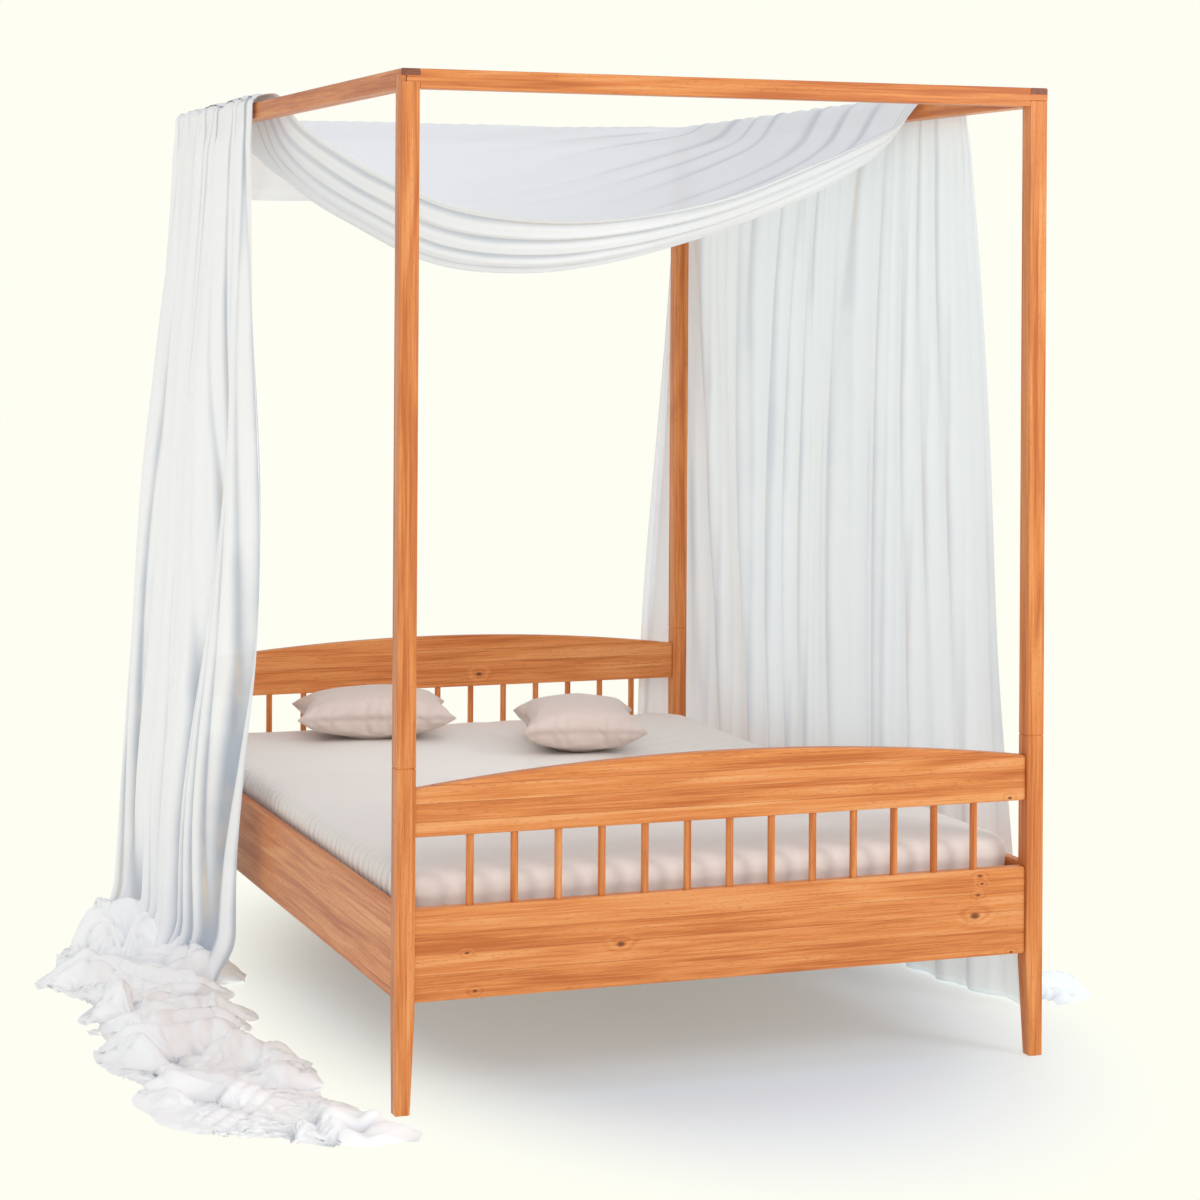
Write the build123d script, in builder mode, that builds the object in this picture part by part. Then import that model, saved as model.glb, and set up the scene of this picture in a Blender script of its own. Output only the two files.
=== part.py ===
from build123d import *
from math import cos, pi, sin
import os

os.makedirs("parts", exist_ok=True)

# Canopy bed. The origin is the centre of the front left foot's sole, +X runs to the right
# along the footboard, +Y from the foot of the bed to its head, and +Z up. All in millimetres.

# Overall sizes, measured over the posts
bed_width = 1460.0
bed_length = 2120.0
bed_height = 2100.0

# Posts, each in two lengths
post_side = 40.0
foot_side = 31.0
taper_top = 205.0
post_joint_z = 695.0
post_round = 2.2
post_chamfer = 1.8
sole_chamfer = 1.0

# Canopy rails, lapped over the post tops
canopy_rail_height = 40.0
side_lap = 14.0
end_lap = 13.0
post_ear = 11.0
ear_gap = 1.0
rail_round = 2.0
rail_outer_round = 4.0
shoulder_round = 3.0

# Head and foot boards
board_thickness = 25.0
board_recess = 7.0
lower_board_bottom = 223.0
lower_board_height = 188.0
upper_board_bottom = 555.0
upper_board_end_height = 97.0
upper_board_rise = 44.0
board_corner = 6.0
board_round = 2.5
tenon_thickness = 12.0
tenon_length = 15.0
tenon_shoulder = 20.0

# Spindles between the boards
spindle_count = 13
spindle_pitch = 95.0
spindle_diameter = 16.0
spindle_seat = 20.0

# Side rails
side_rail_thickness = 22.0
side_rail_recess = 7.0
side_rail_bottom = 226.0
side_rail_height = 187.0
side_rail_top_round = 5.0
side_rail_round = 2.0

# Slatted base
mattress_seat_z = 305.0
slat_thickness = 20.0
slat_width = 90.0
slat_count = 14
slat_end_gap = 2.0
ledger_width = 25.0
ledger_height = 40.0
ledger_end_gap = 20.0
beam_width = 45.0
beam_height = 60.0
beam_housing = 10.0
beam_drop_room = 40.0
small_round = 2.0

# Mattress and pillows
mattress_thickness = 160.0
mattress_crown = 9.0
mattress_side_gap = 4.0
mattress_end_gap = 22.0
mattress_corner = 60.0
pillow_length = 410.0
pillow_depth = 315.0
pillow_thickness = 132.0
pillow_draw = 13.0
pillow_least_draw = 1.0

# Joinery
dowel_diameter = 12.0
dowel_length = 80.0
pin_diameter = 10.0
pin_depth = 30.0
pin_blind = 8.0
plate_width = 16.0
plate_height = 130.0
plate_thickness = 3.0
hook_width = 4.0
hook_height = 22.0
hook_drop = 8.0
hook_lip = 5.0
hook_slot_width = 5.0
hook_slot_height = 32.0
hook_pitch = 60.0
hook_room = 2.0
pin_chamfer = 1.0
screw_diameter = 4.0
screw_head = 8.0
screw_length = 24.0
screw_inset = 8.0

# Clearances
glue_gap = 0.1
plate_gap = 0.2
housing_gap = 0.3
soft_gap = 0.3

# Sheer cloth
cloth_thickness = 4.0
gather_depth = 3.0
drape_folds = 14
drape_front_left = 1300.0
drape_folds_right = 22
wrapped_folds = 3
drape_front_right = 385.0
swag_folds = 6
swag_fold_depth = 12.0
tightest_fold = 0.2
rear_spans = 4
rear_slack = 0.35
rear_bow = 0.015
valance_drop = 211.0
valance_folds = 11
valance_fold_depth = 6.0
valance_end_gap = 42.0
bunch_edge = 8.0

# Places worked out from the sizes above
left = -foot_side / 2
front = -foot_side / 2
right = left + bed_width
back = front + bed_length
middle_x = (left + right) / 2
rail_bottom_z = bed_height - canopy_rail_height
side_lap_z = bed_height - side_lap
post_top_z = side_lap_z - end_lap
inner_left = left + post_side
inner_right = right - post_side
inner_front = front + post_side
inner_back = back - post_side
lower_board_top = lower_board_bottom + lower_board_height
side_rail_middle_z = side_rail_bottom + side_rail_height / 2
slat_bottom_z = mattress_seat_z - slat_thickness

# Each corner: its outer edge in plan, and the directions that point into the bed
corners = {
    "front_left": (left, front, 1, 1),
    "front_right": (right, front, -1, 1),
    "back_left": (left, back, 1, -1),
    "back_right": (right, back, -1, -1),
}
# Each end: the outer face of its posts, and the direction into the bed
ends = {"footboard": (front, 1), "headboard": (back, -1)}
# Each side: the outer face of its posts, and the direction into the bed
sides = {"left": (left, 1), "right": (right, -1)}


def save(piece, name):
    """Label one finished piece and write it."""
    piece.part.label = name
    export_step(piece.part, f"parts/{name}.step")


def wall_plane(y):
    """Upright plane across the bed at y: local X is the bed's X, local Y is Z."""
    return Plane(origin=(0, y, 0), x_dir=(1, 0, 0), z_dir=(0, -1, 0))


def side_plane(x):
    """Upright plane along the bed at x: local X is the bed's Y, local Y is Z."""
    return Plane(origin=(x, 0, 0), x_dir=(0, 1, 0), z_dir=(1, 0, 0))


def board_middle_y(outer_y, inward):
    return outer_y + inward * (board_recess + board_thickness / 2)


def side_rail_middle_x(outer_x, inward):
    return outer_x + inward * (side_rail_recess + side_rail_thickness / 2)


def cut_block(x, y, z, sizes):
    """Cut a rectangular block centred at a point out of the piece being made."""
    with Locations((x, y, z)):
        Box(*sizes, mode=Mode.SUBTRACT)


# Lower posts: square, tapered on their two inner faces below the boards
hook_levels = (side_rail_middle_z - hook_pitch / 2, side_rail_middle_z + hook_pitch / 2)
screw_levels = (
    side_rail_middle_z - plate_height / 2 + screw_inset,
    side_rail_middle_z + plate_height / 2 - screw_inset,
)
hook_reach = plate_thickness + plate_gap + hook_lip + hook_room

for corner, (x, y, in_x, in_y) in corners.items():
    centre_x = x + in_x * post_side / 2
    centre_y = y + in_y * post_side / 2
    rail_x = side_rail_middle_x(x, in_x)
    inner_face_y = y + in_y * post_side
    with BuildPart() as lower_post:
        for level, side in ((0, foot_side), (taper_top, post_side)):
            with BuildSketch(Plane.XY.offset(level)):
                with Locations((x + in_x * side / 2, y + in_y * side / 2)):
                    RectangleRounded(side, side, post_round)
        loft(ruled=True)
        chamfer(lower_post.faces().sort_by(Axis.Z)[0].edges(), sole_chamfer)
        with BuildSketch(Plane.XY.offset(taper_top)):
            with Locations((centre_x, centre_y)):
                RectangleRounded(post_side, post_side, post_round)
        extrude(amount=post_joint_z - taper_top)
        chamfer(lower_post.faces().sort_by(Axis.Z)[-1].edges(), post_chamfer)
        # mortises for the tenons of the two boards
        for bottom, height in (
            (lower_board_bottom, lower_board_height),
            (upper_board_bottom, upper_board_end_height),
        ):
            cut_block(
                x + in_x * (post_side - tenon_length / 2),
                board_middle_y(y, in_y),
                bottom + height / 2,
                (
                    tenon_length + 2 * glue_gap,
                    tenon_thickness + 2 * glue_gap,
                    height - 2 * tenon_shoulder + 2 * glue_gap,
                ),
            )
        # pocket for the receiver plate, room for the hooks behind it, holes for its screws
        cut_block(
            rail_x,
            inner_face_y - in_y * plate_thickness / 2,
            side_rail_middle_z,
            (plate_width + 2 * plate_gap, plate_thickness + 2 * glue_gap, plate_height + 2 * plate_gap),
        )
        for level in hook_levels:
            cut_block(
                rail_x,
                inner_face_y - in_y * hook_reach / 2,
                level,
                (hook_slot_width + hook_room, hook_reach, hook_slot_height + 2 * hook_room),
            )
        for level in screw_levels:
            with Locations(Location((rail_x, inner_face_y, level), (90 * in_y, 0, 0))):
                Cylinder(
                    screw_diameter / 2 + glue_gap,
                    2 * (plate_thickness + screw_length),
                    mode=Mode.SUBTRACT,
                )
        # hole for the dowel that carries the upper post
        with Locations((centre_x, centre_y, post_joint_z)):
            Hole(dowel_diameter / 2 + glue_gap, dowel_length / 2 + glue_gap)
    save(lower_post, f"lower_post_{corner}")

# Upper posts: the front left one keeps an ear that closes the end of the lap
for corner, (x, y, in_x, in_y) in corners.items():
    centre_x = x + in_x * post_side / 2
    centre_y = y + in_y * post_side / 2
    with BuildPart() as upper_post:
        with BuildSketch(Plane.XY.offset(post_joint_z)):
            with Locations((centre_x, centre_y)):
                RectangleRounded(post_side, post_side, post_round)
        extrude(amount=post_top_z - post_joint_z)
        chamfer(upper_post.faces().sort_by(Axis.Z)[0].edges(), post_chamfer)
        if corner == "front_left":
            with BuildSketch(Plane.XY.offset(post_top_z)):
                with Locations((x + in_x * post_ear / 2, centre_y)):
                    Rectangle(post_ear, post_side - 2 * post_round)
            extrude(amount=end_lap)
        else:
            chamfer(upper_post.faces().sort_by(Axis.Z)[-1].edges(), post_chamfer)
        with Locations(Location((centre_x, centre_y, post_joint_z), (180, 0, 0))):
            Hole(dowel_diameter / 2 + glue_gap, dowel_length / 2 + glue_gap)
        with Locations((centre_x, centre_y, post_top_z)):
            Hole(pin_diameter / 2 + glue_gap, pin_depth + glue_gap)
    save(upper_post, f"upper_post_{corner}")

# Dowels in the post joints, and pins through the lapped canopy corners
with BuildPart() as post_dowels:
    for x, y, in_x, in_y in corners.values():
        with Locations((x + in_x * post_side / 2, y + in_y * post_side / 2, post_joint_z)):
            Cylinder(dowel_diameter / 2, dowel_length)
    chamfer(post_dowels.edges().filter_by(GeomType.CIRCLE), pin_chamfer)
save(post_dowels, "post_dowels")

with BuildPart() as canopy_pins:
    for x, y, in_x, in_y in corners.values():
        with BuildSketch(Plane.XY.offset(post_top_z - pin_depth)):
            with Locations((x + in_x * post_side / 2, y + in_y * post_side / 2)):
                Circle(pin_diameter / 2)
    extrude(amount=pin_depth + end_lap + pin_blind)
    chamfer(canopy_pins.edges().filter_by(GeomType.CIRCLE), pin_chamfer)
save(canopy_pins, "canopy_pins")

# Canopy rails. The side rails keep their top layer over the posts; the front and back rails
# keep a tongue below it. Their shoulders stop against the posts.
for side, (outer_x, in_x) in sides.items():
    with BuildPart() as side_canopy_rail:
        with BuildSketch(side_plane(outer_x)):
            with BuildLine():
                Polyline(
                    (front, side_lap_z),
                    (inner_front, side_lap_z),
                    (inner_front, rail_bottom_z),
                    (inner_back, rail_bottom_z),
                    (inner_back, side_lap_z),
                    (back, side_lap_z),
                    (back, bed_height),
                    (front, bed_height),
                    close=True,
                )
            make_face()
        extrude(amount=in_x * post_side)
        top_edges = side_canopy_rail.faces().sort_by(Axis.Z)[-1].edges().filter_by(Axis.Y)
        fillet(top_edges.sort_by(Axis.X)[0 if in_x > 0 else -1], rail_outer_round)
        top_edges = side_canopy_rail.faces().sort_by(Axis.Z)[-1].edges().filter_by(Axis.Y)
        fillet(top_edges.sort_by(Axis.X)[-1 if in_x > 0 else 0], rail_round)
        bottom_face = side_canopy_rail.faces().filter_by(Axis.Z).sort_by(Axis.Z)[0]
        fillet(bottom_face.edges().filter_by(Axis.Y), rail_round)
        for y in (front + post_side / 2, back - post_side / 2):
            with Locations(Location((outer_x + in_x * post_side / 2, y, side_lap_z), (180, 0, 0))):
                Hole(pin_diameter / 2 + glue_gap, pin_blind + glue_gap)
    save(side_canopy_rail, f"canopy_rail_{side}")

for end, (outer_y, in_y) in {"front": ends["footboard"], "back": ends["headboard"]}.items():
    lap_start = left + post_ear + ear_gap if end == "front" else left
    with BuildPart() as end_canopy_rail:
        with BuildSketch(wall_plane(outer_y)):
            with BuildLine():
                Polyline(
                    (lap_start, post_top_z),
                    (inner_left, post_top_z),
                    (inner_left, rail_bottom_z),
                    (inner_right, rail_bottom_z),
                    (inner_right, post_top_z),
                    (right, post_top_z),
                    (right, side_lap_z),
                    (inner_right, side_lap_z),
                    (inner_right, bed_height),
                    (inner_left, bed_height),
                    (inner_left, side_lap_z),
                    (lap_start, side_lap_z),
                    close=True,
                )
            rail_face = make_face()
            shoulders = rail_face.vertices().filter_by(
                lambda v: v.Y < rail_bottom_z + 1 or v.Y > bed_height - 1
            )
            fillet(shoulders, shoulder_round)
        extrude(amount=-in_y * post_side)
        long_edges = end_canopy_rail.edges().filter_by(Axis.X).filter_by(
            lambda e: e.length > bed_width / 2
        )
        fillet(long_edges, rail_round)
        for x in (left + post_side / 2, right - post_side / 2):
            with Locations((x, outer_y + in_y * post_side / 2, side_lap_z)):
                Hole(pin_diameter / 2 + glue_gap, end_lap)
    save(end_canopy_rail, f"canopy_rail_{end}")

# Head and foot boards with stub tenons, and the spindles between them
spindle_xs = [middle_x + (i - (spindle_count - 1) / 2) * spindle_pitch for i in range(spindle_count)]
board_span = inner_right - inner_left

for end, (outer_y, in_y) in ends.items():
    board_y = board_middle_y(outer_y, in_y)
    face_y = board_y - board_thickness / 2

    with BuildPart() as lower_board:
        with BuildSketch(wall_plane(face_y)):
            with Locations((middle_x, lower_board_bottom + lower_board_height / 2)):
                RectangleRounded(board_span, lower_board_height, board_corner)
        extrude(amount=-board_thickness)
        for face in (0, -1):
            fillet(lower_board.faces().filter_by(Axis.Y).sort_by(Axis.Y)[face].edges(), board_round)
        with BuildSketch(wall_plane(board_y - tenon_thickness / 2)):
            with Locations((middle_x, lower_board_bottom + lower_board_height / 2)):
                Rectangle(board_span + 2 * tenon_length, lower_board_height - 2 * tenon_shoulder)
        extrude(amount=-tenon_thickness)
        with Locations(*[(x, board_y, lower_board_top) for x in spindle_xs]):
            Hole(spindle_diameter / 2 + glue_gap, spindle_seat)
        # housing that the centre beam drops into
        cut_block(
            middle_x,
            board_y + in_y * (board_thickness - beam_housing) / 2,
            slat_bottom_z - (beam_height - beam_drop_room) / 2,
            (
                beam_width + 2 * housing_gap,
                beam_housing + housing_gap,
                beam_height + beam_drop_room + 2 * housing_gap,
            ),
        )
    save(lower_board, f"{end}_lower_board")

    with BuildPart() as upper_board:
        end_top = upper_board_bottom + upper_board_end_height
        with BuildSketch(wall_plane(face_y)):
            with BuildLine():
                Line((inner_left, end_top), (inner_left, upper_board_bottom))
                Line((inner_left, upper_board_bottom), (inner_right, upper_board_bottom))
                Line((inner_right, upper_board_bottom), (inner_right, end_top))
                ThreePointArc(
                    (inner_right, end_top), (middle_x, end_top + upper_board_rise), (inner_left, end_top)
                )
            board_face = make_face()
            fillet(board_face.vertices(), board_corner)
        extrude(amount=-board_thickness)
        for face in (0, -1):
            fillet(upper_board.faces().filter_by(Axis.Y).sort_by(Axis.Y)[face].edges(), board_round)
        with BuildSketch(wall_plane(board_y - tenon_thickness / 2)):
            with Locations((middle_x, upper_board_bottom + upper_board_end_height / 2)):
                Rectangle(board_span + 2 * tenon_length, upper_board_end_height - 2 * tenon_shoulder)
        extrude(amount=-tenon_thickness)
        with Locations(*[Location((x, board_y, upper_board_bottom), (180, 0, 0)) for x in spindle_xs]):
            Hole(spindle_diameter / 2 + glue_gap, spindle_seat)
    save(upper_board, f"{end}_upper_board")

    spindle_foot = lower_board_top - spindle_seat + glue_gap
    spindle_length = upper_board_bottom + spindle_seat - glue_gap - spindle_foot
    for number, x in enumerate(spindle_xs, start=1):
        with BuildPart() as spindle:
            with BuildSketch(Plane.XY.offset(spindle_foot)):
                with Locations((x, board_y)):
                    Circle(spindle_diameter / 2)
            extrude(amount=spindle_length)
            chamfer(spindle.edges().filter_by(GeomType.CIRCLE), pin_chamfer)
        save(spindle, f"{end}_spindle_{number:02d}")

# Side rails, hung on hook plates let into their ends
for side, (outer_x, in_x) in sides.items():
    rail_x = side_rail_middle_x(outer_x, in_x)
    with BuildPart() as side_rail:
        with BuildSketch(wall_plane(inner_front)):
            with Locations((rail_x, side_rail_middle_z)):
                Rectangle(side_rail_thickness, side_rail_height)
        extrude(amount=-(inner_back - inner_front))
        top_edges = side_rail.faces().sort_by(Axis.Z)[-1].edges().filter_by(Axis.Y)
        bottom_edges = side_rail.faces().sort_by(Axis.Z)[0].edges().filter_by(Axis.Y)
        fillet(top_edges, side_rail_top_round)
        fillet(bottom_edges, side_rail_round)
        for end_y, in_y in ((inner_front, 1), (inner_back, -1)):
            cut_block(
                rail_x,
                end_y + in_y * plate_thickness / 2,
                side_rail_middle_z,
                (plate_width + 2 * plate_gap, plate_thickness + 2 * glue_gap, plate_height + 2 * plate_gap),
            )
            for level in screw_levels:
                with Locations(Location((rail_x, end_y, level), (90, 0, 0))):
                    Cylinder(
                        screw_diameter / 2 + glue_gap,
                        2 * (plate_thickness + screw_length),
                        mode=Mode.SUBTRACT,
                    )
    save(side_rail, f"side_rail_{side}")

# Hook plates in the rail ends, receiver plates in the posts, and their screws
with BuildPart() as hook_plates:
    for x, y, in_x, in_y in corners.values():
        rail_x = side_rail_middle_x(x, in_x)
        face_y = y + in_y * post_side
        with Locations((rail_x, face_y + in_y * (plate_thickness + plate_gap) / 2, side_rail_middle_z)):
            Box(plate_width, plate_thickness - plate_gap, plate_height)
        for level in hook_levels:
            neck = plate_thickness + 2 * plate_gap + hook_lip
            with Locations((rail_x, face_y - in_y * (neck / 2 - plate_gap), level + hook_drop / 2)):
                Box(hook_width, neck, hook_height - hook_drop)
            with Locations(
                (rail_x, face_y - in_y * (plate_thickness + plate_gap + hook_lip / 2), level)
            ):
                Box(hook_width, hook_lip, hook_height)
        for level in screw_levels:
            with Locations(Location((rail_x, face_y, level), (90, 0, 0))):
                Cylinder(screw_head / 2 + glue_gap, 2 * plate_thickness + 1, mode=Mode.SUBTRACT)
save(hook_plates, "hook_plates")

with BuildPart() as receiver_plates:
    for x, y, in_x, in_y in corners.values():
        rail_x = side_rail_middle_x(x, in_x)
        face_y = y + in_y * post_side
        with Locations((rail_x, face_y - in_y * plate_thickness / 2, side_rail_middle_z)):
            Box(plate_width, plate_thickness, plate_height)
        for level in hook_levels:
            cut_block(
                rail_x,
                face_y - in_y * plate_thickness / 2,
                level,
                (hook_slot_width, plate_thickness + 1, hook_slot_height),
            )
        for level in screw_levels:
            with Locations(Location((rail_x, face_y, level), (90, 0, 0))):
                Cylinder(screw_head / 2 + glue_gap, 2 * plate_thickness + 1, mode=Mode.SUBTRACT)
save(receiver_plates, "receiver_plates")

with BuildPart() as fitting_screws:
    for x, y, in_x, in_y in corners.values():
        rail_x = side_rail_middle_x(x, in_x)
        face_y = y + in_y * post_side
        for level in screw_levels:
            for way in (1, -1):
                head_y = face_y + way * (plate_thickness / 2 + plate_gap / 2)
                shank_y = face_y + way * (plate_thickness + screw_length / 2 - plate_gap)
                with Locations(Location((rail_x, head_y, level), (90, 0, 0))):
                    Cylinder(screw_head / 2, plate_thickness - plate_gap)
                with Locations(Location((rail_x, shank_y, level), (90, 0, 0))):
                    Cylinder(screw_diameter / 2, screw_length)
save(fitting_screws, "fitting_screws")

# Ledgers, slats and the centre beam
ledger_front = inner_front + ledger_end_gap
ledger_length = inner_back - inner_front - 2 * ledger_end_gap
for side, (outer_x, in_x) in sides.items():
    rail_face_x = side_rail_middle_x(outer_x, in_x) + in_x * side_rail_thickness / 2
    with BuildPart() as ledger:
        with BuildSketch(wall_plane(ledger_front)):
            with Locations((rail_face_x + in_x * ledger_width / 2, slat_bottom_z - ledger_height / 2)):
                Rectangle(ledger_width, ledger_height)
        extrude(amount=-ledger_length)
        chamfer(ledger.faces().sort_by(Axis.Z)[0].edges().filter_by(Axis.Y), small_round)
    save(ledger, f"ledger_{side}")

rail_clear = bed_width - 2 * (side_rail_recess + side_rail_thickness)
slat_run = ledger_length - slat_width
with BuildPart() as slats:
    for i in range(slat_count):
        slat_y = ledger_front + slat_width / 2 + i * slat_run / (slat_count - 1)
        with Locations((middle_x, slat_y, slat_bottom_z + slat_thickness / 2)):
            Box(rail_clear - 2 * slat_end_gap, slat_width, slat_thickness)
    fillet(slats.edges().filter_by(Axis.X), small_round)
save(slats, "slats")

beam_front = front + board_recess + board_thickness - beam_housing + housing_gap
beam_back = back - board_recess - board_thickness + beam_housing - housing_gap
with BuildPart() as centre_beam:
    with BuildSketch(wall_plane(beam_front)):
        with Locations((middle_x, slat_bottom_z - beam_height / 2)):
            RectangleRounded(beam_width, beam_height, small_round)
    extrude(amount=-(beam_back - beam_front))
save(centre_beam, "centre_beam")

# Mattress: crowned top, sides drawn in between the edges
mattress_width = rail_clear - 2 * mattress_side_gap
mattress_length = inner_back - inner_front - 2 * mattress_end_gap
mattress_base = mattress_seat_z + soft_gap
mattress_top = mattress_base + mattress_thickness
middle_y = (front + back) / 2
# share of the thickness, and how far the outline stands in from the full size there
mattress_shape = (
    (0.00, 10.0),
    (0.10, 0.0),
    (0.50, 5.0),
    (0.86, 0.0),
    (0.96, 9.0),
    (1.00, 32.0),
)
with BuildPart() as mattress:
    for share, inset in mattress_shape:
        with BuildSketch(Plane.XY.offset(mattress_base + share * mattress_thickness)):
            with Locations((middle_x, middle_y)):
                RectangleRounded(mattress_width - 2 * inset, mattress_length - 2 * inset, mattress_corner)
    with BuildSketch(Plane.XY.offset(mattress_top + mattress_crown)):
        with Locations((middle_x, middle_y)):
            RectangleRounded(0.72 * mattress_width, 0.78 * mattress_length, mattress_corner)
    loft(ruled=True)
save(mattress, "mattress")

# Pillows: crowned, with drawn-in sides between four pulled-out corners
# each pillow's centre and the turn of its long side
pillow_places = {
    "left": (middle_x - 258.0, back - 279.0, -11.6),
    "right": (middle_x + 196.0, back - 624.0, -105.0),
}
# height above the seam as a share of half the thickness, size share, draw of the sides
pillow_shape = (
    (-0.92, 0.58, 0.0),
    (-0.62, 0.80, 0.4),
    (-0.25, 0.94, 0.8),
    (0.00, 1.00, 1.0),
    (0.35, 0.90, 0.8),
    (0.72, 0.68, 0.3),
    (1.00, 0.34, 0.0),
)
for side, (pillow_x, pillow_y, turn) in pillow_places.items():
    seam_z = mattress_top + mattress_crown + soft_gap - pillow_shape[0][0] * pillow_thickness / 2
    with BuildPart() as pillow:
        for height, share, draw in pillow_shape:
            half_length = share * pillow_length / 2
            half_depth = share * pillow_depth / 2
            pull = draw * pillow_draw + pillow_least_draw
            plane = Plane(
                origin=(pillow_x, pillow_y, seam_z + height * pillow_thickness / 2), z_dir=(0, 0, 1)
            ).rotated((0, 0, turn))
            with BuildSketch(plane):
                with BuildLine():
                    corners_in_plan = (
                        (-half_length, -half_depth),
                        (half_length, -half_depth),
                        (half_length, half_depth),
                        (-half_length, half_depth),
                    )
                    pulls = (
                        (0, -half_depth + pull),
                        (half_length - pull, 0),
                        (0, half_depth - pull),
                        (-half_length + pull, 0),
                    )
                    for i in range(4):
                        ThreePointArc(corners_in_plan[i], pulls[i], corners_in_plan[(i + 1) % 4])
                make_face()
        loft(ruled=True)
    save(pillow, f"pillow_{side}")


# The sheer cloth. A hanging sheet is lofted through outlines: its outer line swings out and in
# between the points of its path, and its inner line is the same one, moved by the wall.
def bulge_point(start, end, bulge):
    """Middle point of an arc that stands off its chord by the bulge, to the chord's left."""
    run = end - start
    return (start + end) * 0.5 + Vector(-run.Y, run.X) * (bulge / run.length)


def folded_outline(points, bulges, side):
    """Closed outline of a folded sheet whose wall lies left (1) or right (-1) of its path."""
    ways = [(end - start).normalized() for start, end in zip(points[:-1], points[1:])]
    inner = []
    for point, way_in, way_out in zip(points, [ways[0]] + ways, ways + [ways[-1]]):
        run = (way_in + way_out).normalized()
        inner.append(point + Vector(-run.Y, run.X) * (side * cloth_thickness))
    for i, bulge in enumerate(bulges):
        ThreePointArc(points[i], bulge_point(points[i], points[i + 1], bulge), points[i + 1])
    Line(points[-1], inner[-1])
    for i, bulge in reversed(list(enumerate(bulges))):
        ThreePointArc(inner[i + 1], bulge_point(inner[i], inner[i + 1], bulge), inner[i])
    Line(inner[0], points[0])


def path_points(stations, count):
    """Evenly spaced points along straight runs between the stations."""
    lengths = [(b - a).length for a, b in zip(stations[:-1], stations[1:])]
    points = []
    for i in range(count + 1):
        way = sum(lengths) * i / count
        run = 0
        while run < len(lengths) - 1 and way > lengths[run]:
            way -= lengths[run]
            run += 1
        points.append(stations[run] + (stations[run + 1] - stations[run]) * (way / lengths[run]))
    return points


def fold_bulges(points, depth):
    """Folds that swing out and in by turns, some deeper than others and none too tight."""
    bulges = []
    for i, (start, end) in enumerate(zip(points[:-1], points[1:])):
        swing = min(depth * (0.8 + 0.2 * cos(2.3 * i)), tightest_fold * (end - start).length)
        bulges.append(swing * (-1) ** i)
    return bulges


def bunched_outline(width, height):
    """Cross-section of bunched cloth lying on the floor: flat below, three folds above."""
    half = width / 2
    edge = min(bunch_edge, height / 3)
    feet = [(-half, edge), (-half / 3, 0.72 * height), (half / 3, 0.66 * height), (half, edge)]
    crowns = [(-0.72 * half, 0.72 * height), (0, height), (0.72 * half, 0.66 * height)]
    Polyline(feet[0], (-half, 0), (half, 0), feet[3])
    for i in range(3):
        ThreePointArc(feet[i], crowns[i], feet[i + 1])


def bunched_sections(stations):
    """Upright planes across a train of cloth, with the width and height of the train there."""
    sections = []
    for i, (x, y, width, height) in enumerate(stations):
        before = stations[max(i - 1, 0)]
        after = stations[min(i + 1, len(stations) - 1)]
        heading = Vector(after[0] - before[0], after[1] - before[1], 0).normalized()
        plane = Plane(
            origin=(left + x, front + y, 0), x_dir=(heading.Y, -heading.X, 0), z_dir=-heading
        )
        sections.append((plane, width, height))
    return sections


cloth_underside = bed_height + soft_gap
cloth_top = cloth_underside + cloth_thickness
rail_wrap = soft_gap + cloth_thickness + 2 * gather_depth

# Canopy sheet, laid over the side rails and the back rail. Share of the clear span, then the
# front hem's distance from the front and its sag, and the same for the lowest line behind it.
swag_stations = (
    (0.03, 1090.0, 55.0, 1425.0, 120.0),
    (0.08, 1065.0, 105.0, 1385.0, 205.0),
    (0.16, 1015.0, 175.0, 1315.0, 285.0),
    (0.28, 945.0, 248.0, 1215.0, 377.0),
    (0.42, 860.0, 278.0, 1100.0, 401.0),
    (0.56, 780.0, 268.0, 980.0, 375.0),
    (0.70, 695.0, 222.0, 865.0, 313.0),
    (0.82, 625.0, 151.0, 765.0, 237.0),
    (0.91, 570.0, 92.0, 690.0, 165.0),
    (0.97, 535.0, 50.0, 640.0, 95.0),
)
clear_span = inner_right - inner_left
swag_sections = [
    (left - rail_wrap, 1150.0, 0.0, 1480.0, 0.0),
    (inner_left, 1110.0, 0.0, 1450.0, 0.0),
    *[(inner_left + station[0] * clear_span, *station[1:]) for station in swag_stations],
    (inner_right, 500.0, 0.0, 590.0, 0.0),
    (right + rail_wrap, drape_front_right, 0.0, 560.0, 0.0),
]
with BuildPart() as canopy_cloth:
    for across, hem_along, hem_sag, low_along, low_sag in swag_sections:
        points = []
        for i in range(swag_folds + 1):
            share = i / swag_folds
            along = front + hem_along + share * (low_along - hem_along)
            sag = hem_sag + (low_sag - hem_sag) * sin(share * pi / 2)
            points.append(Vector(along, cloth_top - sag))
        for i in range(1, rear_spans + 1):
            share = i / rear_spans
            along = front + low_along + share * (inner_back - front - low_along)
            sag = low_sag * (1 - share) * (1 + rear_slack * share)
            points.append(Vector(along, cloth_top - sag))
        points.append(Vector(back + rail_wrap, cloth_top))
        if low_sag == 0:
            bulges = [gather_depth] * (swag_folds + rear_spans)
        else:
            bulges = fold_bulges(points[: swag_folds + 1], swag_fold_depth)
            bulges += [-rear_bow * low_sag] * rear_spans
        with BuildSketch(side_plane(across)):
            with BuildLine():
                folded_outline(points, bulges + [gather_depth], -1)
            make_face()
    loft(ruled=True)
save(canopy_cloth, "canopy_cloth")

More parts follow.
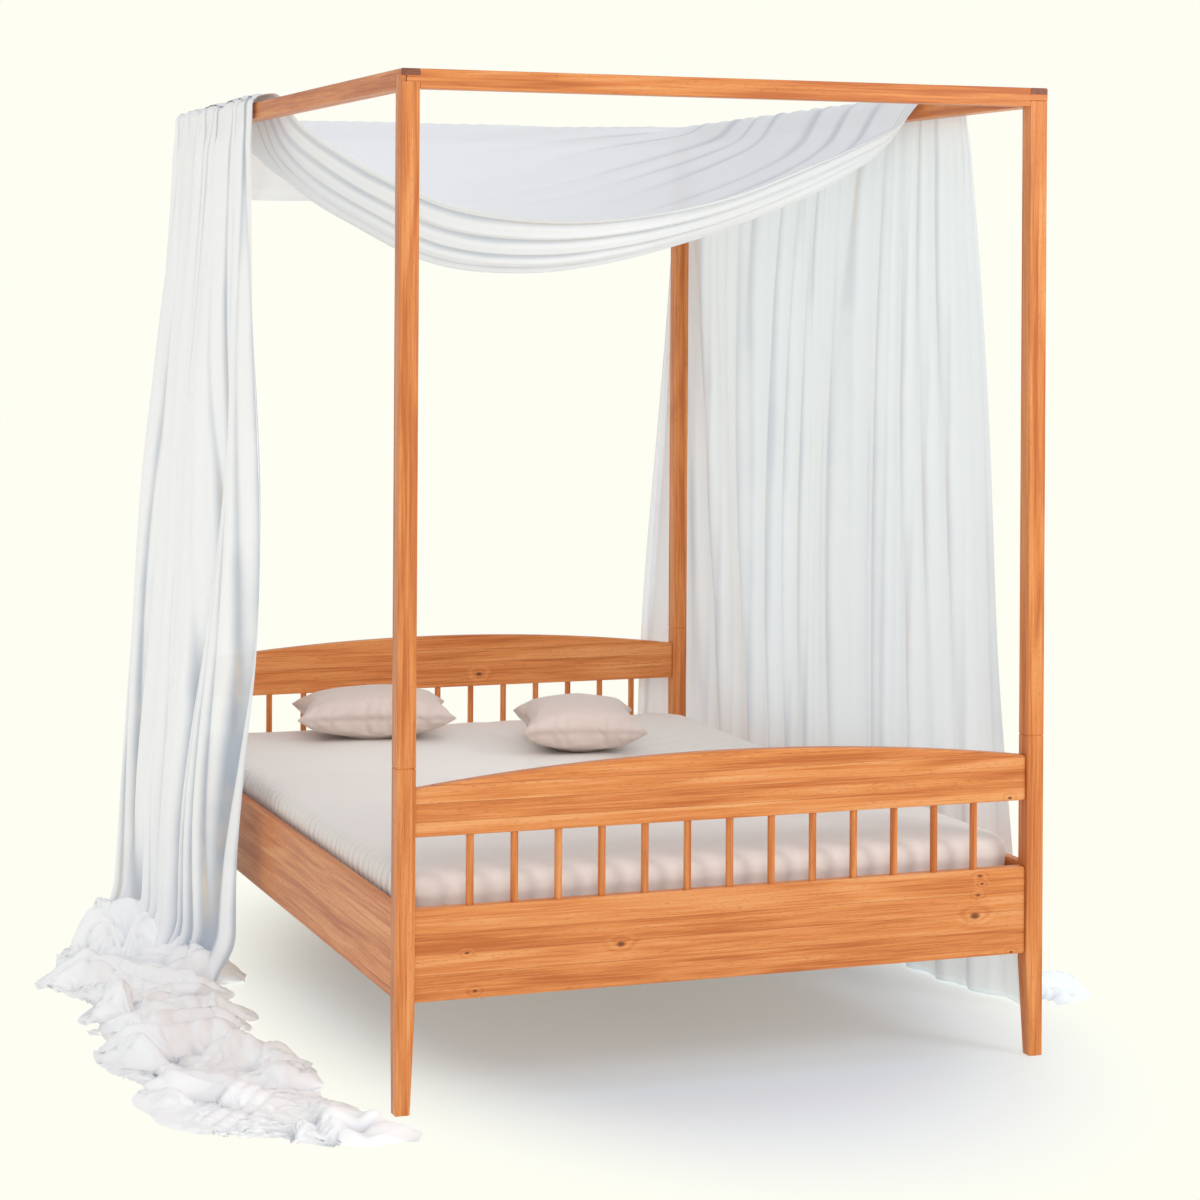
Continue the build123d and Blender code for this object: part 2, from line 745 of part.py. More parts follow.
# Back valance: the rear edge of the cloth, hanging behind the back rail
with BuildPart() as back_valance:
    for level, depth in ((bed_height - valance_drop, valance_fold_depth), (cloth_underside, gather_depth)):
        valance_y = back + soft_gap + cloth_thickness + depth
        points = path_points(
            [Vector(left + valance_end_gap, valance_y), Vector(right - valance_end_gap, valance_y)],
            valance_folds,
        )
        with BuildSketch(Plane.XY.offset(level)):
            with BuildLine():
                folded_outline(points, fold_bulges(points, depth), -1)
            make_face()
    loft(ruled=True)
save(back_valance, "back_valance")

# Left drape, outside the left rail, with its train on the floor. Share of the height, depth of
# the folds, then the path from front to back: how far it stands out, and how far along it is.
left_drape_levels = (
    (1.000, gather_depth, (0.0, drape_front_left), (0.0, bed_length)),
    (0.785, 12.0, (12.0, 1215.0), (20.0, bed_length + 5.0)),
    (0.480, 14.0, (20.0, 1110.0), (62.0, bed_length + 15.0)),
    (0.215, 14.0, (35.0, 1230.0), (118.0, bed_length - 30.0)),
    (0.000, 14.0, (45.0, 1250.0), (190.0, bed_length - 220.0)),
)
# x, y, width and height of the bunched cloth, from under the drape to the tip in front
left_train = (
    (-205.0, 1800.0, 120.0, 60.0),
    (-270.0, 1560.0, 300.0, 90.0),
    (-300.0, 1330.0, 330.0, 110.0),
    (-265.0, 1110.0, 310.0, 50.0),
    (-275.0, 930.0, 330.0, 95.0),
    (-300.0, 760.0, 300.0, 45.0),
    (-290.0, 600.0, 350.0, 90.0),
    (-275.0, 460.0, 300.0, 40.0),
    (-270.0, 320.0, 340.0, 80.0),
    (-290.0, 150.0, 300.0, 40.0),
    (-215.0, -20.0, 230.0, 60.0),
    (-110.0, -130.0, 130.0, 30.0),
    (-25.0, -180.0, 40.0, 12.0),
)
with BuildPart() as left_drape:
    for share, depth, *path in left_drape_levels:
        outer_x = left - soft_gap - cloth_thickness - depth
        points = path_points([Vector(outer_x - out, front + along) for out, along in path], drape_folds)
        with BuildSketch(Plane.XY.offset(share * cloth_underside)):
            with BuildLine():
                folded_outline(points, fold_bulges(points, depth), -1)
            make_face()
    loft(ruled=True)
    for plane, width, height in bunched_sections(left_train):
        with BuildSketch(plane):
            with BuildLine():
                bunched_outline(width, height)
            make_face()
    loft(ruled=True)
save(left_drape, "left_drape")

# Right drape, outside the right rail and round the back right post. Share of the height, depth
# of the folds, how far it stands out and how far along it is at its front edge and at its
# middle, then how far out it stands at the corner and how far behind the bed, and how far
# its back edge reaches in behind the headboard.
right_drape_levels = (
    (1.000, gather_depth, (0.0, drape_front_right), (0.0, 900.0), (0.0, 0.0), 20.0),
    (0.833, 8.0, (25.0, 360.0), (16.0, 900.0), (15.0, 16.0), 27.0),
    (0.620, 10.0, (50.0, 370.0), (30.0, 900.0), (30.0, 20.0), 58.0),
    (0.343, 12.0, (88.0, 375.0), (48.0, 900.0), (45.0, 26.0), 104.0),
    (0.000, 12.0, (140.0, 355.0), (62.0, 760.0), (60.0, 38.0), 130.0),
)
right_puddle = (
    (1590.0, 880.0, 110.0, 20.0),
    (1690.0, 690.0, 320.0, 45.0),
    (1680.0, 520.0, 300.0, 30.0),
    (1685.0, 400.0, 215.0, 35.0),
    (1650.0, 325.0, 70.0, 12.0),
)
with BuildPart() as right_drape:
    for share, depth, front_edge, side_middle, corner, reach in right_drape_levels:
        outer_x = right + soft_gap + cloth_thickness + depth
        outer_y = back + soft_gap + cloth_thickness + depth
        side_stations = [
            Vector(outer_x + front_edge[0], front + front_edge[1]),
            Vector(outer_x + side_middle[0], front + side_middle[1]),
            Vector(outer_x + corner[0], outer_y + corner[1]),
        ]
        points = path_points(side_stations, drape_folds_right)
        back_end = Vector(right - reach, outer_y + corner[1])
        points += path_points([points[-1], back_end], wrapped_folds)[1:]
        with BuildSketch(Plane.XY.offset(share * cloth_underside)):
            with BuildLine():
                folded_outline(points, fold_bulges(points, depth), 1)
            make_face()
    loft(ruled=True)
    for plane, width, height in bunched_sections(right_puddle):
        with BuildSketch(plane):
            with BuildLine():
                bunched_outline(width, height)
            make_face()
    loft(ruled=True)
save(right_drape, "right_drape")
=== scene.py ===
# %% [markdown]
# # A wooden canopy bed with sheer cloth
# The bed is 1.46 m wide, 2.12 m long and 2.10 m high. Its wooden parts come from the packed
# model and keep their shapes; here they get their finishes. The mattress, the pillows and the
# cloth are soft, so they are modelled again in this script.
#
# Everything is in metres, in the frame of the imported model: the sole of the front left foot is
# at the origin, +X runs along the footboard, +Y runs to the head of the bed and +Z is up.

# %% Load the model and note its box
from math import cos, exp, pi, radians, sin, sqrt

import bmesh
import bpy
from mathutils import Matrix, Vector, noise


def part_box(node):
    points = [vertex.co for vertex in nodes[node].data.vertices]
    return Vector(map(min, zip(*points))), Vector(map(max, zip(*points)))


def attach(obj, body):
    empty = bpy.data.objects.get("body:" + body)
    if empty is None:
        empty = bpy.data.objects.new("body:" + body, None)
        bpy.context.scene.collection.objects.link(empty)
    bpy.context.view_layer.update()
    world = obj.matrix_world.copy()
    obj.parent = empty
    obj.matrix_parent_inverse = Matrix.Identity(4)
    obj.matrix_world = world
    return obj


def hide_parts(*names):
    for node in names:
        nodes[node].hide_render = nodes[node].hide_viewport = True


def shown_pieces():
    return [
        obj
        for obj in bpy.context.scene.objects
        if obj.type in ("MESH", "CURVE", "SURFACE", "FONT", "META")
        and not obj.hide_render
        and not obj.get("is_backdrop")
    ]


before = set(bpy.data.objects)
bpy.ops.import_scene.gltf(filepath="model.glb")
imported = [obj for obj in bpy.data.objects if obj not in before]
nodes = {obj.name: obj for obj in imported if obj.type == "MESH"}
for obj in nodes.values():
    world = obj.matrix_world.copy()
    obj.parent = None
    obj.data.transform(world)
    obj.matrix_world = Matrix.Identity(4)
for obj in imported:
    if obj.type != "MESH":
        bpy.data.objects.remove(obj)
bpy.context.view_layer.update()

# %% [markdown]
# The soft pieces are placed by the wooden parts that carry them, so the places of the posts and
# rails are read from the model instead of being typed again.

# %% Places of the posts and rails
left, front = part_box("lower_post_front_left")[0][:2]
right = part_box("lower_post_front_right")[1].x
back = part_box("lower_post_back_left")[1].y
rail_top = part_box("canopy_rail_left")[1].z
inner_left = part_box("canopy_rail_left")[1].x
inner_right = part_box("canopy_rail_right")[0].x
inner_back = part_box("canopy_rail_back")[0].y
print("bed", round(right - left, 4), "x", round(back - front, 4), "rail top", round(rail_top, 4))

# %% [markdown]
# A photograph of furniture is often taken with a level camera and a shifted lens, which keeps
# the posts upright in the picture. Tilting the camera instead would make them lean together.
# Blender's camera has the same shift. The columns of its matrix are its right, its up and its
# backward direction.

# %% Camera
eye = Vector((-1.6748, -5.6826, 1.6730))
turn = radians(20.207)
lean = radians(-0.337)
ahead = Vector((sin(turn), cos(turn), 0))
level = Vector((cos(turn), -sin(turn), 0))
down = ahead.cross(level)
rightward = level * cos(lean) + down * sin(lean)
upward = level * sin(lean) - down * cos(lean)
lens = bpy.data.cameras.new("camera")
lens.sensor_width = 36
lens.lens = 88.33
lens.shift_y = -0.2648
camera = bpy.data.objects.new("camera", lens)
bpy.context.collection.objects.link(camera)
turned = Matrix((rightward, upward, -ahead)).transposed().to_4x4()
camera.matrix_world = Matrix.Translation(eye) @ turned
bpy.context.scene.camera = camera
print("camera at", [round(v, 3) for v in eye])

# %% [markdown]
# Materials are made of nodes, and their sums are easier to read as Python. This class wraps one
# output socket of a node. Arithmetic on it adds the Math node that does the sum, on either side
# of the sign, so `1 - mask` works. Any other node comes from one method.

# %% A socket that can be used in sums
class Wire:
    """One output of a node in a material. Sums with it add Math nodes."""

    def __init__(self, tree, socket=None):
        self.tree = tree
        self.socket = socket

    def add(self, kind, settings=None, inputs=None, output=0):
        """Adds a node: its settings first, then the values or links of its sockets."""
        node = self.tree.nodes.new("ShaderNode" + kind)
        for key, value in (settings or {}).items():
            if key == "stops":
                stops = node.color_ramp.elements
                stops[0].position, stops[0].color = value[0]
                stops[-1].position, stops[-1].color = value[-1]
                for position, colour in value[1:-1]:
                    stops.new(position).color = colour
            else:
                setattr(node, key, value)
        for key, value in (inputs or {}).items():
            if isinstance(value, Wire):
                self.tree.links.new(value.socket, node.inputs[key])
            else:
                node.inputs[key].default_value = value
        return Wire(self.tree, node.outputs[output] if node.outputs else None)

    def other(self, name):
        """Another output of the same node."""
        return Wire(self.tree, self.socket.node.outputs[name])

    def maths(self, operation, *values):
        return self.add("Math", {"operation": operation}, dict(enumerate(values)))

    def vector_maths(self, operation, *values):
        return self.add("VectorMath", {"operation": operation}, dict(enumerate(values)))

    def __add__(self, value):
        return self.maths("ADD", self, value)

    __radd__ = __add__

    def __sub__(self, value):
        return self.maths("SUBTRACT", self, value)

    def __rsub__(self, value):
        return self.maths("SUBTRACT", value, self)

    def __mul__(self, value):
        return self.maths("MULTIPLY", self, value)

    __rmul__ = __mul__

    def smooth(self, low, high):
        """0 below low and 1 above high, with a smooth ramp between them."""
        inputs = {"Value": self, "From Min": low, "From Max": high}
        return self.add("MapRange", {"interpolation_type": "SMOOTHSTEP"}, inputs)

    def mixed(self, first, second):
        """A colour: the first where this factor is 0 and the second where it is 1."""
        return self.add("Mix", {"data_type": "RGBA"}, {0: self, 6: first, 7: second}, output=2)

    def length(self):
        """The length of a vector, as a number."""
        return self.add("VectorMath", {"operation": "LENGTH"}, {0: self}, output="Value")


# %% [markdown]
# Every finish begins as an empty material and ends in one shader. Colours are picked on a screen,
# from 0 to 255 per channel, but a shader works in linear light, so they are turned into that.

# %% Begin and end a material
def new_finish(name):
    """An empty material, and a wire that adds nodes to it."""
    finish = bpy.data.materials.new(name)
    finish.use_nodes = True
    finish.node_tree.nodes.clear()
    return finish, Wire(finish.node_tree)


def close_finish(graph, **sockets):
    """Ends a material in one shader. Spaces in the socket names are written as underscores."""
    inputs = {key.replace("_", " "): value for key, value in sockets.items()}
    shader = graph.add("BsdfPrincipled", inputs=inputs)
    graph.add("OutputMaterial", inputs={"Surface": shader})


def rgb(*levels):
    """A screen colour, from 0 to 255 per channel, in the linear values of a shader."""
    linear = [v / 255 / 12.92 if v <= 10 else ((v / 255 + 0.055) / 1.055) ** 2.4 for v in levels]
    return (*linear, 1)


print("half grey is", round(rgb(128, 128, 128)[0], 3), "in linear light")

# %% [markdown]
# ## Studio
# The floor is a pale disc. Near the bed it is a plain rough surface that takes soft shadows.
# Further out it fades into the same cream as the background, so there is no horizon in any view.

# %% Floor
bpy.context.scene.view_settings.view_transform = "Standard"
cream = rgb(254, 254, 243)
disc = bmesh.new()
floor_radius = 30
just_below = -0.0005
bmesh.ops.create_circle(disc, cap_ends=True, segments=96, radius=floor_radius)
bmesh.ops.translate(disc, verts=disc.verts, vec=(0.7, 1.0, just_below))
floor_mesh = bpy.data.meshes.new("floor")
disc.to_mesh(floor_mesh)
disc.free()
floor = bpy.data.objects.new("floor", floor_mesh)
bpy.context.collection.objects.link(floor)

# %% [markdown]
# The floor's finish has two rings round the middle of the bed. The inner one is mostly a matt
# surface, mixed with a little glow so that the shadow stays light. The outer one only glows.

# %% Floor finish
bed_middle = (0.8, 0.9, 0)
floor_finish, graph = new_finish("studio_floor")
spot = graph.add("TexCoord", output="Object")
offset = graph.vector_maths("SUBTRACT", spot, bed_middle)
reach = graph.vector_maths("MULTIPLY", offset, (1.55, 0.85, 1.0)).length()
fade = reach.smooth(0.85, 1.6)
glow_share = 0.21
matt = graph.add("BsdfPrincipled", inputs={"Base Color": rgb(226, 240, 255), "Roughness": 0.6})
glow = graph.add("Emission", inputs={"Color": rgb(253, 253, 251), "Strength": 1.0})
near = graph.add("MixShader", inputs={0: glow_share, 1: matt, 2: glow})
far = graph.add("Emission", inputs={"Color": cream, "Strength": 1.0})
blended = graph.add("MixShader", inputs={0: fade, 1: near, 2: far})
graph.add("OutputMaterial", inputs={"Surface": blended})
floor_mesh.materials.append(floor_finish)
floor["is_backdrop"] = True
print("floor", len(floor_mesh.vertices), "corners")

# %% [markdown]
# Soft light comes from all round. The sky that the camera sees is cream, and the light that
# falls on the bed is neutral, because a cream light would turn the white cloth yellow. Large
# area lights add direction: one from the right front throws the spindles' shadows to the left,
# and a small one under the canopy, with a narrow spread, reaches only the headboard.

# %% Lights
world = bpy.data.worlds.new("studio")
bpy.context.scene.world = world
world.use_nodes = True
world.node_tree.nodes.clear()
sky = Wire(world.node_tree)
seen = sky.add("LightPath", output="Is Camera Ray")
shown = sky.add("Background", inputs={"Color": cream, "Strength": 1.0})
cast = sky.add("Background", inputs={"Color": rgb(250, 250, 252), "Strength": 0.74})
both = sky.add("MixShader", inputs={0: seen, 1: cast, 2: shown})
sky.add("OutputWorld", inputs={"Surface": both})


def area_light(name, spot, target, size, watts, spread=180):
    """A square lamp that faces its target and lights a cone as wide as its spread, in degrees."""
    lamp = bpy.data.lights.new(name, "AREA")
    lamp.size = size
    lamp.energy = watts
    lamp.spread = radians(spread)
    holder = bpy.data.objects.new(name, lamp)
    bpy.context.collection.objects.link(holder)
    spot = Vector(spot)
    facing = (Vector(target) - spot).to_track_quat("-Z", "Y")
    holder.matrix_world = Matrix.Translation(spot) @ facing.to_matrix().to_4x4()
    holder.visible_camera = False


area_light("light_right_front", (4.0, -3.6, 3.4), (0.8, 0.6, 0.7), size=1.6, watts=82)
area_light("light_front", (-0.6, -6.0, 2.8), (0.5, 0.8, 1.0), size=3.0, watts=62)
area_light("light_inside", (0.40, 0.3, 1.55), (0.72, 2.0, 0.50), size=0.8, watts=1.1, spread=72)

# %% [markdown]
# ## Wood
# The wood is solid, oiled and orange-brown, with fine straight streaks, short dark pores and a
# few small knots. An image would stretch over the ends of the boards. A pattern in space does
# not: it is cut by each face as real wood is. Noise that is stretched along the grain gives the
# streaks, and the contour lines of a slower noise give the growth rings.
#
# The boards are glued from staves. Each stave shifts the pattern, so the grain breaks at the
# glue lines. A knot is a small swelling in the noise, so the ring lines flow round it.

# %% Wood finishes
pale_wood = rgb(236, 168, 108)
mid_wood = rgb(221, 138, 74)
dark_wood = rgb(190, 104, 48)
pore_wood = rgb(139, 70, 30)
knot_wood = rgb(98, 50, 26)
end_wood = rgb(142, 84, 62)
end_ring = rgb(104, 58, 44)


def grain_finish(name, axis, glue_lines=(), knots=()):
    """Oiled wood whose grain runs along X, Y or Z. Glue lines are heights, and a knot is a
    place on a face with its radius."""
    finish, graph = new_finish(name)
    spot = graph.add("TexCoord", output="Object")
    height = graph.add("SeparateXYZ", inputs={0: spot}, output="Z")
    moved = spot
    glue = None
    stave_tone = None
    for i, line in enumerate(glue_lines):
        above = graph.maths("GREATER_THAN", height, line)
        shift = {0: (0.83 + 0.2 * i, 0.61, 0.47), "Scale": above}
        shift = graph.add("VectorMath", {"operation": "SCALE"}, shift)
        moved = graph.vector_maths("ADD", moved, shift)
        seam = 1 - graph.maths("ABSOLUTE", height - line).smooth(0.0, 0.0011)
        tone = above * (0.09 * (-1) ** i)
        glue = seam if glue is None else graph.maths("MAXIMUM", glue, seam)
        stave_tone = tone if stave_tone is None else stave_tone + tone

    def streaks(long, across, seed, detail, bend=0.0):
        scale = [across] * 3
        scale["XYZ".index(axis)] = long
        place = {"Vector": moved, "Location": (seed, -seed, seed), "Scale": scale}
        place = graph.add("Mapping", inputs=place)
        inputs = {"Vector": place, "Scale": 1.0, "Detail": detail, "Roughness": 0.6, "Distortion": bend}
        return graph.add("TexNoise", inputs=inputs)

    slow = streaks(0.75, 9, 3.1, 1.5, 0.5)
    broad = streaks(1.7, 66, 7.7, 4.0, 0.3)
    fine = streaks(7, 330, 12.4, 3.0)
    pores = streaks(55, 620, 21.3, 1.0)
    growth = slow * 46
    core = None
    for x, y, z, size in knots:
        away = graph.vector_maths("SUBTRACT", spot, (x, y, z))
        stretch = [1 / size] * 3
        stretch["XYZ".index(axis)] = 0.6 / size
        away = graph.vector_maths("MULTIPLY", away, tuple(stretch)).length()
        growth = growth + (1 - away.smooth(0.2, 4.5)) * 9
        heart = 1 - away.smooth(0.45, 1.25)
        core = heart if core is None else graph.maths("MAXIMUM", core, heart)
    rings = graph.maths("SINE", growth) * 0.5 + 0.5
    tone = broad * 0.95 + fine * 0.7 + rings * 0.13 - 0.5
    if stave_tone is not None:
        tone = tone + stave_tone
    stops = [(0.22, dark_wood), (0.47, mid_wood), (0.76, pale_wood)]
    colour = graph.add("ValToRGB", {"stops": stops}, {0: tone})
    flecks = pores.smooth(0.61, 0.7) * broad.smooth(0.35, 0.62)
    colour = (flecks * 0.42).mixed(colour, pore_wood)
    if glue is not None:
        colour = (glue * 0.5).mixed(colour, pore_wood)
    if core is not None:
        colour = (core * 0.85).mixed(colour, knot_wood)
    facing = graph.add("SeparateXYZ", inputs={0: spot.other("Normal")}, output=axis)
    end_face = graph.maths("ABSOLUTE", facing).smooth(0.75, 0.92)
    end_tone = graph.maths("SINE", slow * 160) * 0.5 + 0.5
    end_colour = (end_tone * 0.5).mixed(end_wood, end_ring)
    colour = end_face.mixed(colour, end_colour)
    relief = fine * 0.5 - flecks * 0.8
    if glue is not None:
        relief = relief - glue
    bump = graph.add("Bump", inputs={"Height": relief, "Strength": 0.35, "Distance": 0.0006})
    roughness = 0.46 - broad * 0.12 + flecks * 0.15
    close_finish(
        graph, Base_Color=colour, Roughness=roughness, Normal=bump,
        Coat_Weight=0.06, Coat_Roughness=0.35, Specular_IOR_Level=0.32,
    )
    return finish


print("wood in linear light", [round(v, 2) for v in mid_wood[:3]])

# %% [markdown]
# The knots were measured on the real boards. Each has its place on the board's face and its
# radius. The boards, the rails, the posts and the two cross beams each get a finish of their own,
# because the grain runs along each of them.

# %% Knots, glue lines and the four wood finishes
board_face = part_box("footboard_lower_board")[0].y
board_knots = [
    (1.295, board_face, 0.397, 0.0035),
    (1.300, board_face, 0.380, 0.003),
    (1.2905, board_face, 0.3565, 0.003),
    (1.2836, board_face, 0.3117, 0.0075),
    (0.4683, board_face, 0.3101, 0.006),
    (0.1357, board_face, 0.3159, 0.003),
    (0.1532, board_face, 0.2377, 0.003),
    (1.3713, board_face, 0.2277, 0.003),
    (1.3666, board_face, 0.5615, 0.0035),
    (0.8298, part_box("headboard_upper_board")[0].y, 0.5876, 0.006),
]
board_glue = (0.276, 0.317, 0.358, 0.585, 0.622, 0.657)
rail_glue = (0.245, 0.279, 0.322, 0.365)
grain_finish("board_wood", "X", board_glue, board_knots)
grain_finish("rail_wood", "Y", rail_glue)
grain_finish("post_wood", "Z")
grain_finish("beam_wood", "X")
print("wood finishes", [m.name for m in bpy.data.materials if m.name.endswith("_wood")])

# %% [markdown]
# The base under the mattress is planed but not oiled: the same idea in paler, quieter colours.
# The fittings are zinc-plated steel, a metal with fine scratches and slightly uneven gloss.

# %% Plain wood and steel
def planed_finish(name, axis):
    """Pale planed wood, with the grain along X, Y or Z."""
    finish, graph = new_finish(name)
    spot = graph.add("TexCoord", output="Object")
    scale = [38, 38, 38]
    scale["XYZ".index(axis)] = 1.4
    place = graph.add("Mapping", inputs={"Vector": spot, "Scale": scale})
    inputs = {"Vector": place, "Scale": 1.0, "Detail": 6.0, "Roughness": 0.65}
    streak = graph.add("TexNoise", inputs=inputs)
    tones = rgb(205, 166, 117), rgb(222, 188, 140), rgb(233, 205, 162)
    colour = graph.add("ValToRGB", {"stops": list(zip((0.3, 0.55, 0.75), tones))}, {0: streak})
    bump = graph.add("Bump", inputs={"Height": streak, "Strength": 0.3, "Distance": 0.0008})
    close_finish(graph, Base_Color=colour, Roughness=0.72 - streak * 0.12, Normal=bump)
    return finish


_, graph = new_finish("zinc_steel")
spot = graph.add("TexCoord", output="Object")
brushed = graph.add("Mapping", inputs={"Vector": spot, "Scale": (900, 60, 900)})
scratches = graph.add("TexNoise", inputs={"Vector": brushed, "Scale": 1.0, "Detail": 3.0})
clouds = graph.add("TexNoise", inputs={"Vector": spot, "Scale": 60.0, "Detail": 2.0})
steel_colour = clouds.mixed(rgb(186, 188, 190), rgb(206, 206, 202))
steel_bump = graph.add("Bump", inputs={"Height": scratches, "Strength": 0.2, "Distance": 0.0002})
close_finish(
    graph, Base_Color=steel_colour, Metallic=1.0,
    Roughness=0.28 + scratches * 0.2, Normal=steel_bump,
)
for name, axis in (("slat_wood", "X"), ("ledger_wood", "Y"), ("dowel_wood", "Z")):
    planed_finish(name, axis)
print("finishes so far", len(bpy.data.materials))

# %% [markdown]
# Each wooden part gets the finish whose grain runs along it.

# %% Finishes on the wooden parts and the fittings
finish_of = {
    "board_wood": [n for n in nodes if n.endswith("_board")],
    "rail_wood": ["side_rail_left", "side_rail_right", "canopy_rail_left", "canopy_rail_right"],
    "post_wood": [n for n in nodes if "_post_" in n or "_spindle_" in n],
    "beam_wood": ["canopy_rail_front", "canopy_rail_back"],
    "slat_wood": ["slats"],
    "ledger_wood": ["ledger_left", "ledger_right", "centre_beam"],
    "dowel_wood": ["post_dowels", "canopy_pins"],
    "zinc_steel": ["hook_plates", "receiver_plates", "fitting_screws"],
}
for finish_name, names in finish_of.items():
    for name in names:
        part = nodes[name]
        if not part.material_slots:
            part.data.materials.append(None)
        for place in part.material_slots:
            place.material = bpy.data.materials[finish_name]
    print(finish_name, len(names))

# %% [markdown]
# ## Helpers for the soft pieces
# A sheet of cloth is easiest to shape as a flat grid whose corners are then moved to their
# places by a formula. Its UV map keeps the flat cloth in metres, so the weave has the same
# size everywhere, and an attribute notes how light each corner is painted, mostly by how high it
# lies in its fold. From it the finish paints shade into the valleys, warmer where it stands for
# light that has passed through several layers. The area of each finished sheet is printed beside
# the area that it was cut to.

# %% From grid to cloth
def dressed(shape, name, finish, body="frame", faces_out=False):
    """Turns a bmesh into a finished piece that rides on a body."""
    if faces_out:
        bmesh.ops.recalc_face_normals(shape, faces=shape.faces)
    for face in shape.faces:
        face.smooth = True
    mesh = bpy.data.meshes.new(name)
    shape.to_mesh(mesh)
    shape.free()
    mesh.materials.append(finish)
    piece = bpy.data.objects.new(name, mesh)
    bpy.context.collection.objects.link(piece)
    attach(piece, body)
    return piece


def grid_cloth(across, along, flat, place):
    """A grid of squares whose corners go to place(u, v), which also tells how light each is painted."""
    cloth = bmesh.new()
    unrolled = cloth.loops.layers.uv.new("UVMap")
    height = cloth.verts.layers.float.new("fold")
    bmesh.ops.create_grid(cloth, x_segments=across, y_segments=along, size=0.5)
    for face in cloth.faces:
        for loop in face.loops:
            loop[unrolled].uv = ((loop.vert.co.x + 0.5) * flat[0], (loop.vert.co.y + 0.5) * flat[1])
    for corner in cloth.verts:
        corner.co, corner[height] = place(corner.co.x + 0.5, corner.co.y + 0.5)
    return cloth


def print_area(piece, flat):
    """Prints the area of a finished sheet and of the flat cloth it was cut to."""
    area = sum(face.area for face in piece.data.polygons)
    print(piece.name, "area", round(area, 2), "of", round(flat[0] * flat[1], 2))


# %% [markdown]
# Three small functions shape every fold. `between` reads a table of measured rows on a smooth
# curve. `crest` is a rounded ridge between two narrow valleys, which is how cloth folds, unlike
# a sine wave. `drift` is slow noise that keeps the folds from being regular.

# %% Curves and folds
def between(rows, at):
    """The other columns of a table where its rising first column is at, on a smooth curve."""
    at = min(max(at, rows[0][0]), rows[-1][0])
    i = max(k for k in range(len(rows) - 1) if rows[k][0] <= at)
    step = rows[i + 1][0] - rows[i][0]
    t = (at - rows[i][0]) / step
    values = []
    for c in range(1, len(rows[0])):
        slopes = []
        for k in (i, i + 1):
            low, high = rows[max(k - 1, 0)], rows[min(k + 1, len(rows) - 1)]
            slopes.append((high[c] - low[c]) / (high[0] - low[0]) * step)
        start, end = rows[i][c], rows[i + 1][c]
        rise = end - start
        values.append(
            start + slopes[0] * t + (3 * rise - 2 * slopes[0] - slopes[1]) * t**2
            + (slopes[0] + slopes[1] - 2 * rise) * t**3
        )
    return values


def crest(phase):
    """From 0 in a narrow valley at each whole number to 1 on the rounded ridge between two."""
    return (sqrt(sin(pi * phase) ** 2 + 0.02) - 0.141) / 0.869


def drift(a, b, seed):
    """Slow noise, from -1 to 1."""
    return noise.noise(Vector((a, b, seed)))


def mixed(a, b, share):
    """The value a share of the way from a to b."""
    return a + (b - a) * share


def eased(t, low=0.0, high=1.0):
    """0 below low and 1 above high, with a smooth ramp between them."""
    t = min(max((t - low) / (high - low), 0), 1)
    return t * t * (3 - 2 * t)


print("half a fold", [round(crest(step / 8), 2) for step in range(5)])

# %% [markdown]
# ## Cloth finishes
# The voile is white, and light and shade are painted on it: slightly blue where it is lit,
# greyer and in places cream in its valleys, as painted shade. The threads of its weave are a
# millimetre apart and make a faint bump. So thin a cloth passes light on from behind, which a
# faint glow of its own stands for, painted light that each sheet has as much of as it gets. The
# mattress cover and the pillow covers are closer woven, in beige-grey and in pinkish beige, with
# painted shade in their folds too.

# %% Woven finishes
def woven_finish(name, lit, shade, painted_warm_shade, pitch, alpha=1.0, depth=0.0002, glow=0.0):
    """Plain weave whose threads are a pitch apart, with painted shade and a painted warm tint in the
    valleys of the folds, and a glow of painted light.
    """
    finish, graph = new_finish(name)
    flat = graph.add("UVMap")
    spot = graph.add("TexCoord", output="Object")
    painted_fold_light = graph.add("Attribute", {"attribute_name": "fold"}, output="Fac")
    clouds = graph.add("TexNoise", inputs={"Vector": spot, "Scale": 3.5, "Detail": 3.0})
    # Painted light and shade: the fold attribute gives the lit colour on crests and the shade colour in
    # valleys.
    colour = (painted_fold_light + clouds * 0.5 - 0.2).smooth(0.05, 0.7).mixed(shade, lit)
    # Painted warm shade: a cream tint in patches of the valleys, for light that has passed through
    # several layers.
    painted_cream_share = (1 - painted_fold_light.smooth(0.02, 0.3)) * clouds.smooth(0.42, 0.62)
    colour = (painted_cream_share * 0.75).mixed(colour, painted_warm_shade)
    threads = graph.add("SeparateXYZ", inputs={0: flat}, output="X")
    warp = graph.maths("SINE", threads * (2 * pi / pitch))
    weft = graph.maths("SINE", threads.other("Y") * (2 * pi / pitch))
    slub = graph.add("TexNoise", inputs={"Vector": flat, "Scale": 240.0, "Detail": 2.0})
    weave = warp * weft * 0.5 + slub
    bump = graph.add("Bump", inputs={"Height": weave, "Strength": 0.25, "Distance": depth})
    # The glow is painted light: it stands for light passing through the thin cloth from behind.
    close_finish(
        graph, Base_Color=colour, Roughness=0.82 + slub * 0.12, Normal=bump, Alpha=alpha,
        Sheen_Weight=0.15, Emission_Color=colour, Emission_Strength=glow,
    )
    return finish


voile_pitch = 0.0011
cotton_pitch = 0.0008
# Painted warm shade for the valleys of the folds.
painted_valley_warmth = rgb(230, 214, 190)
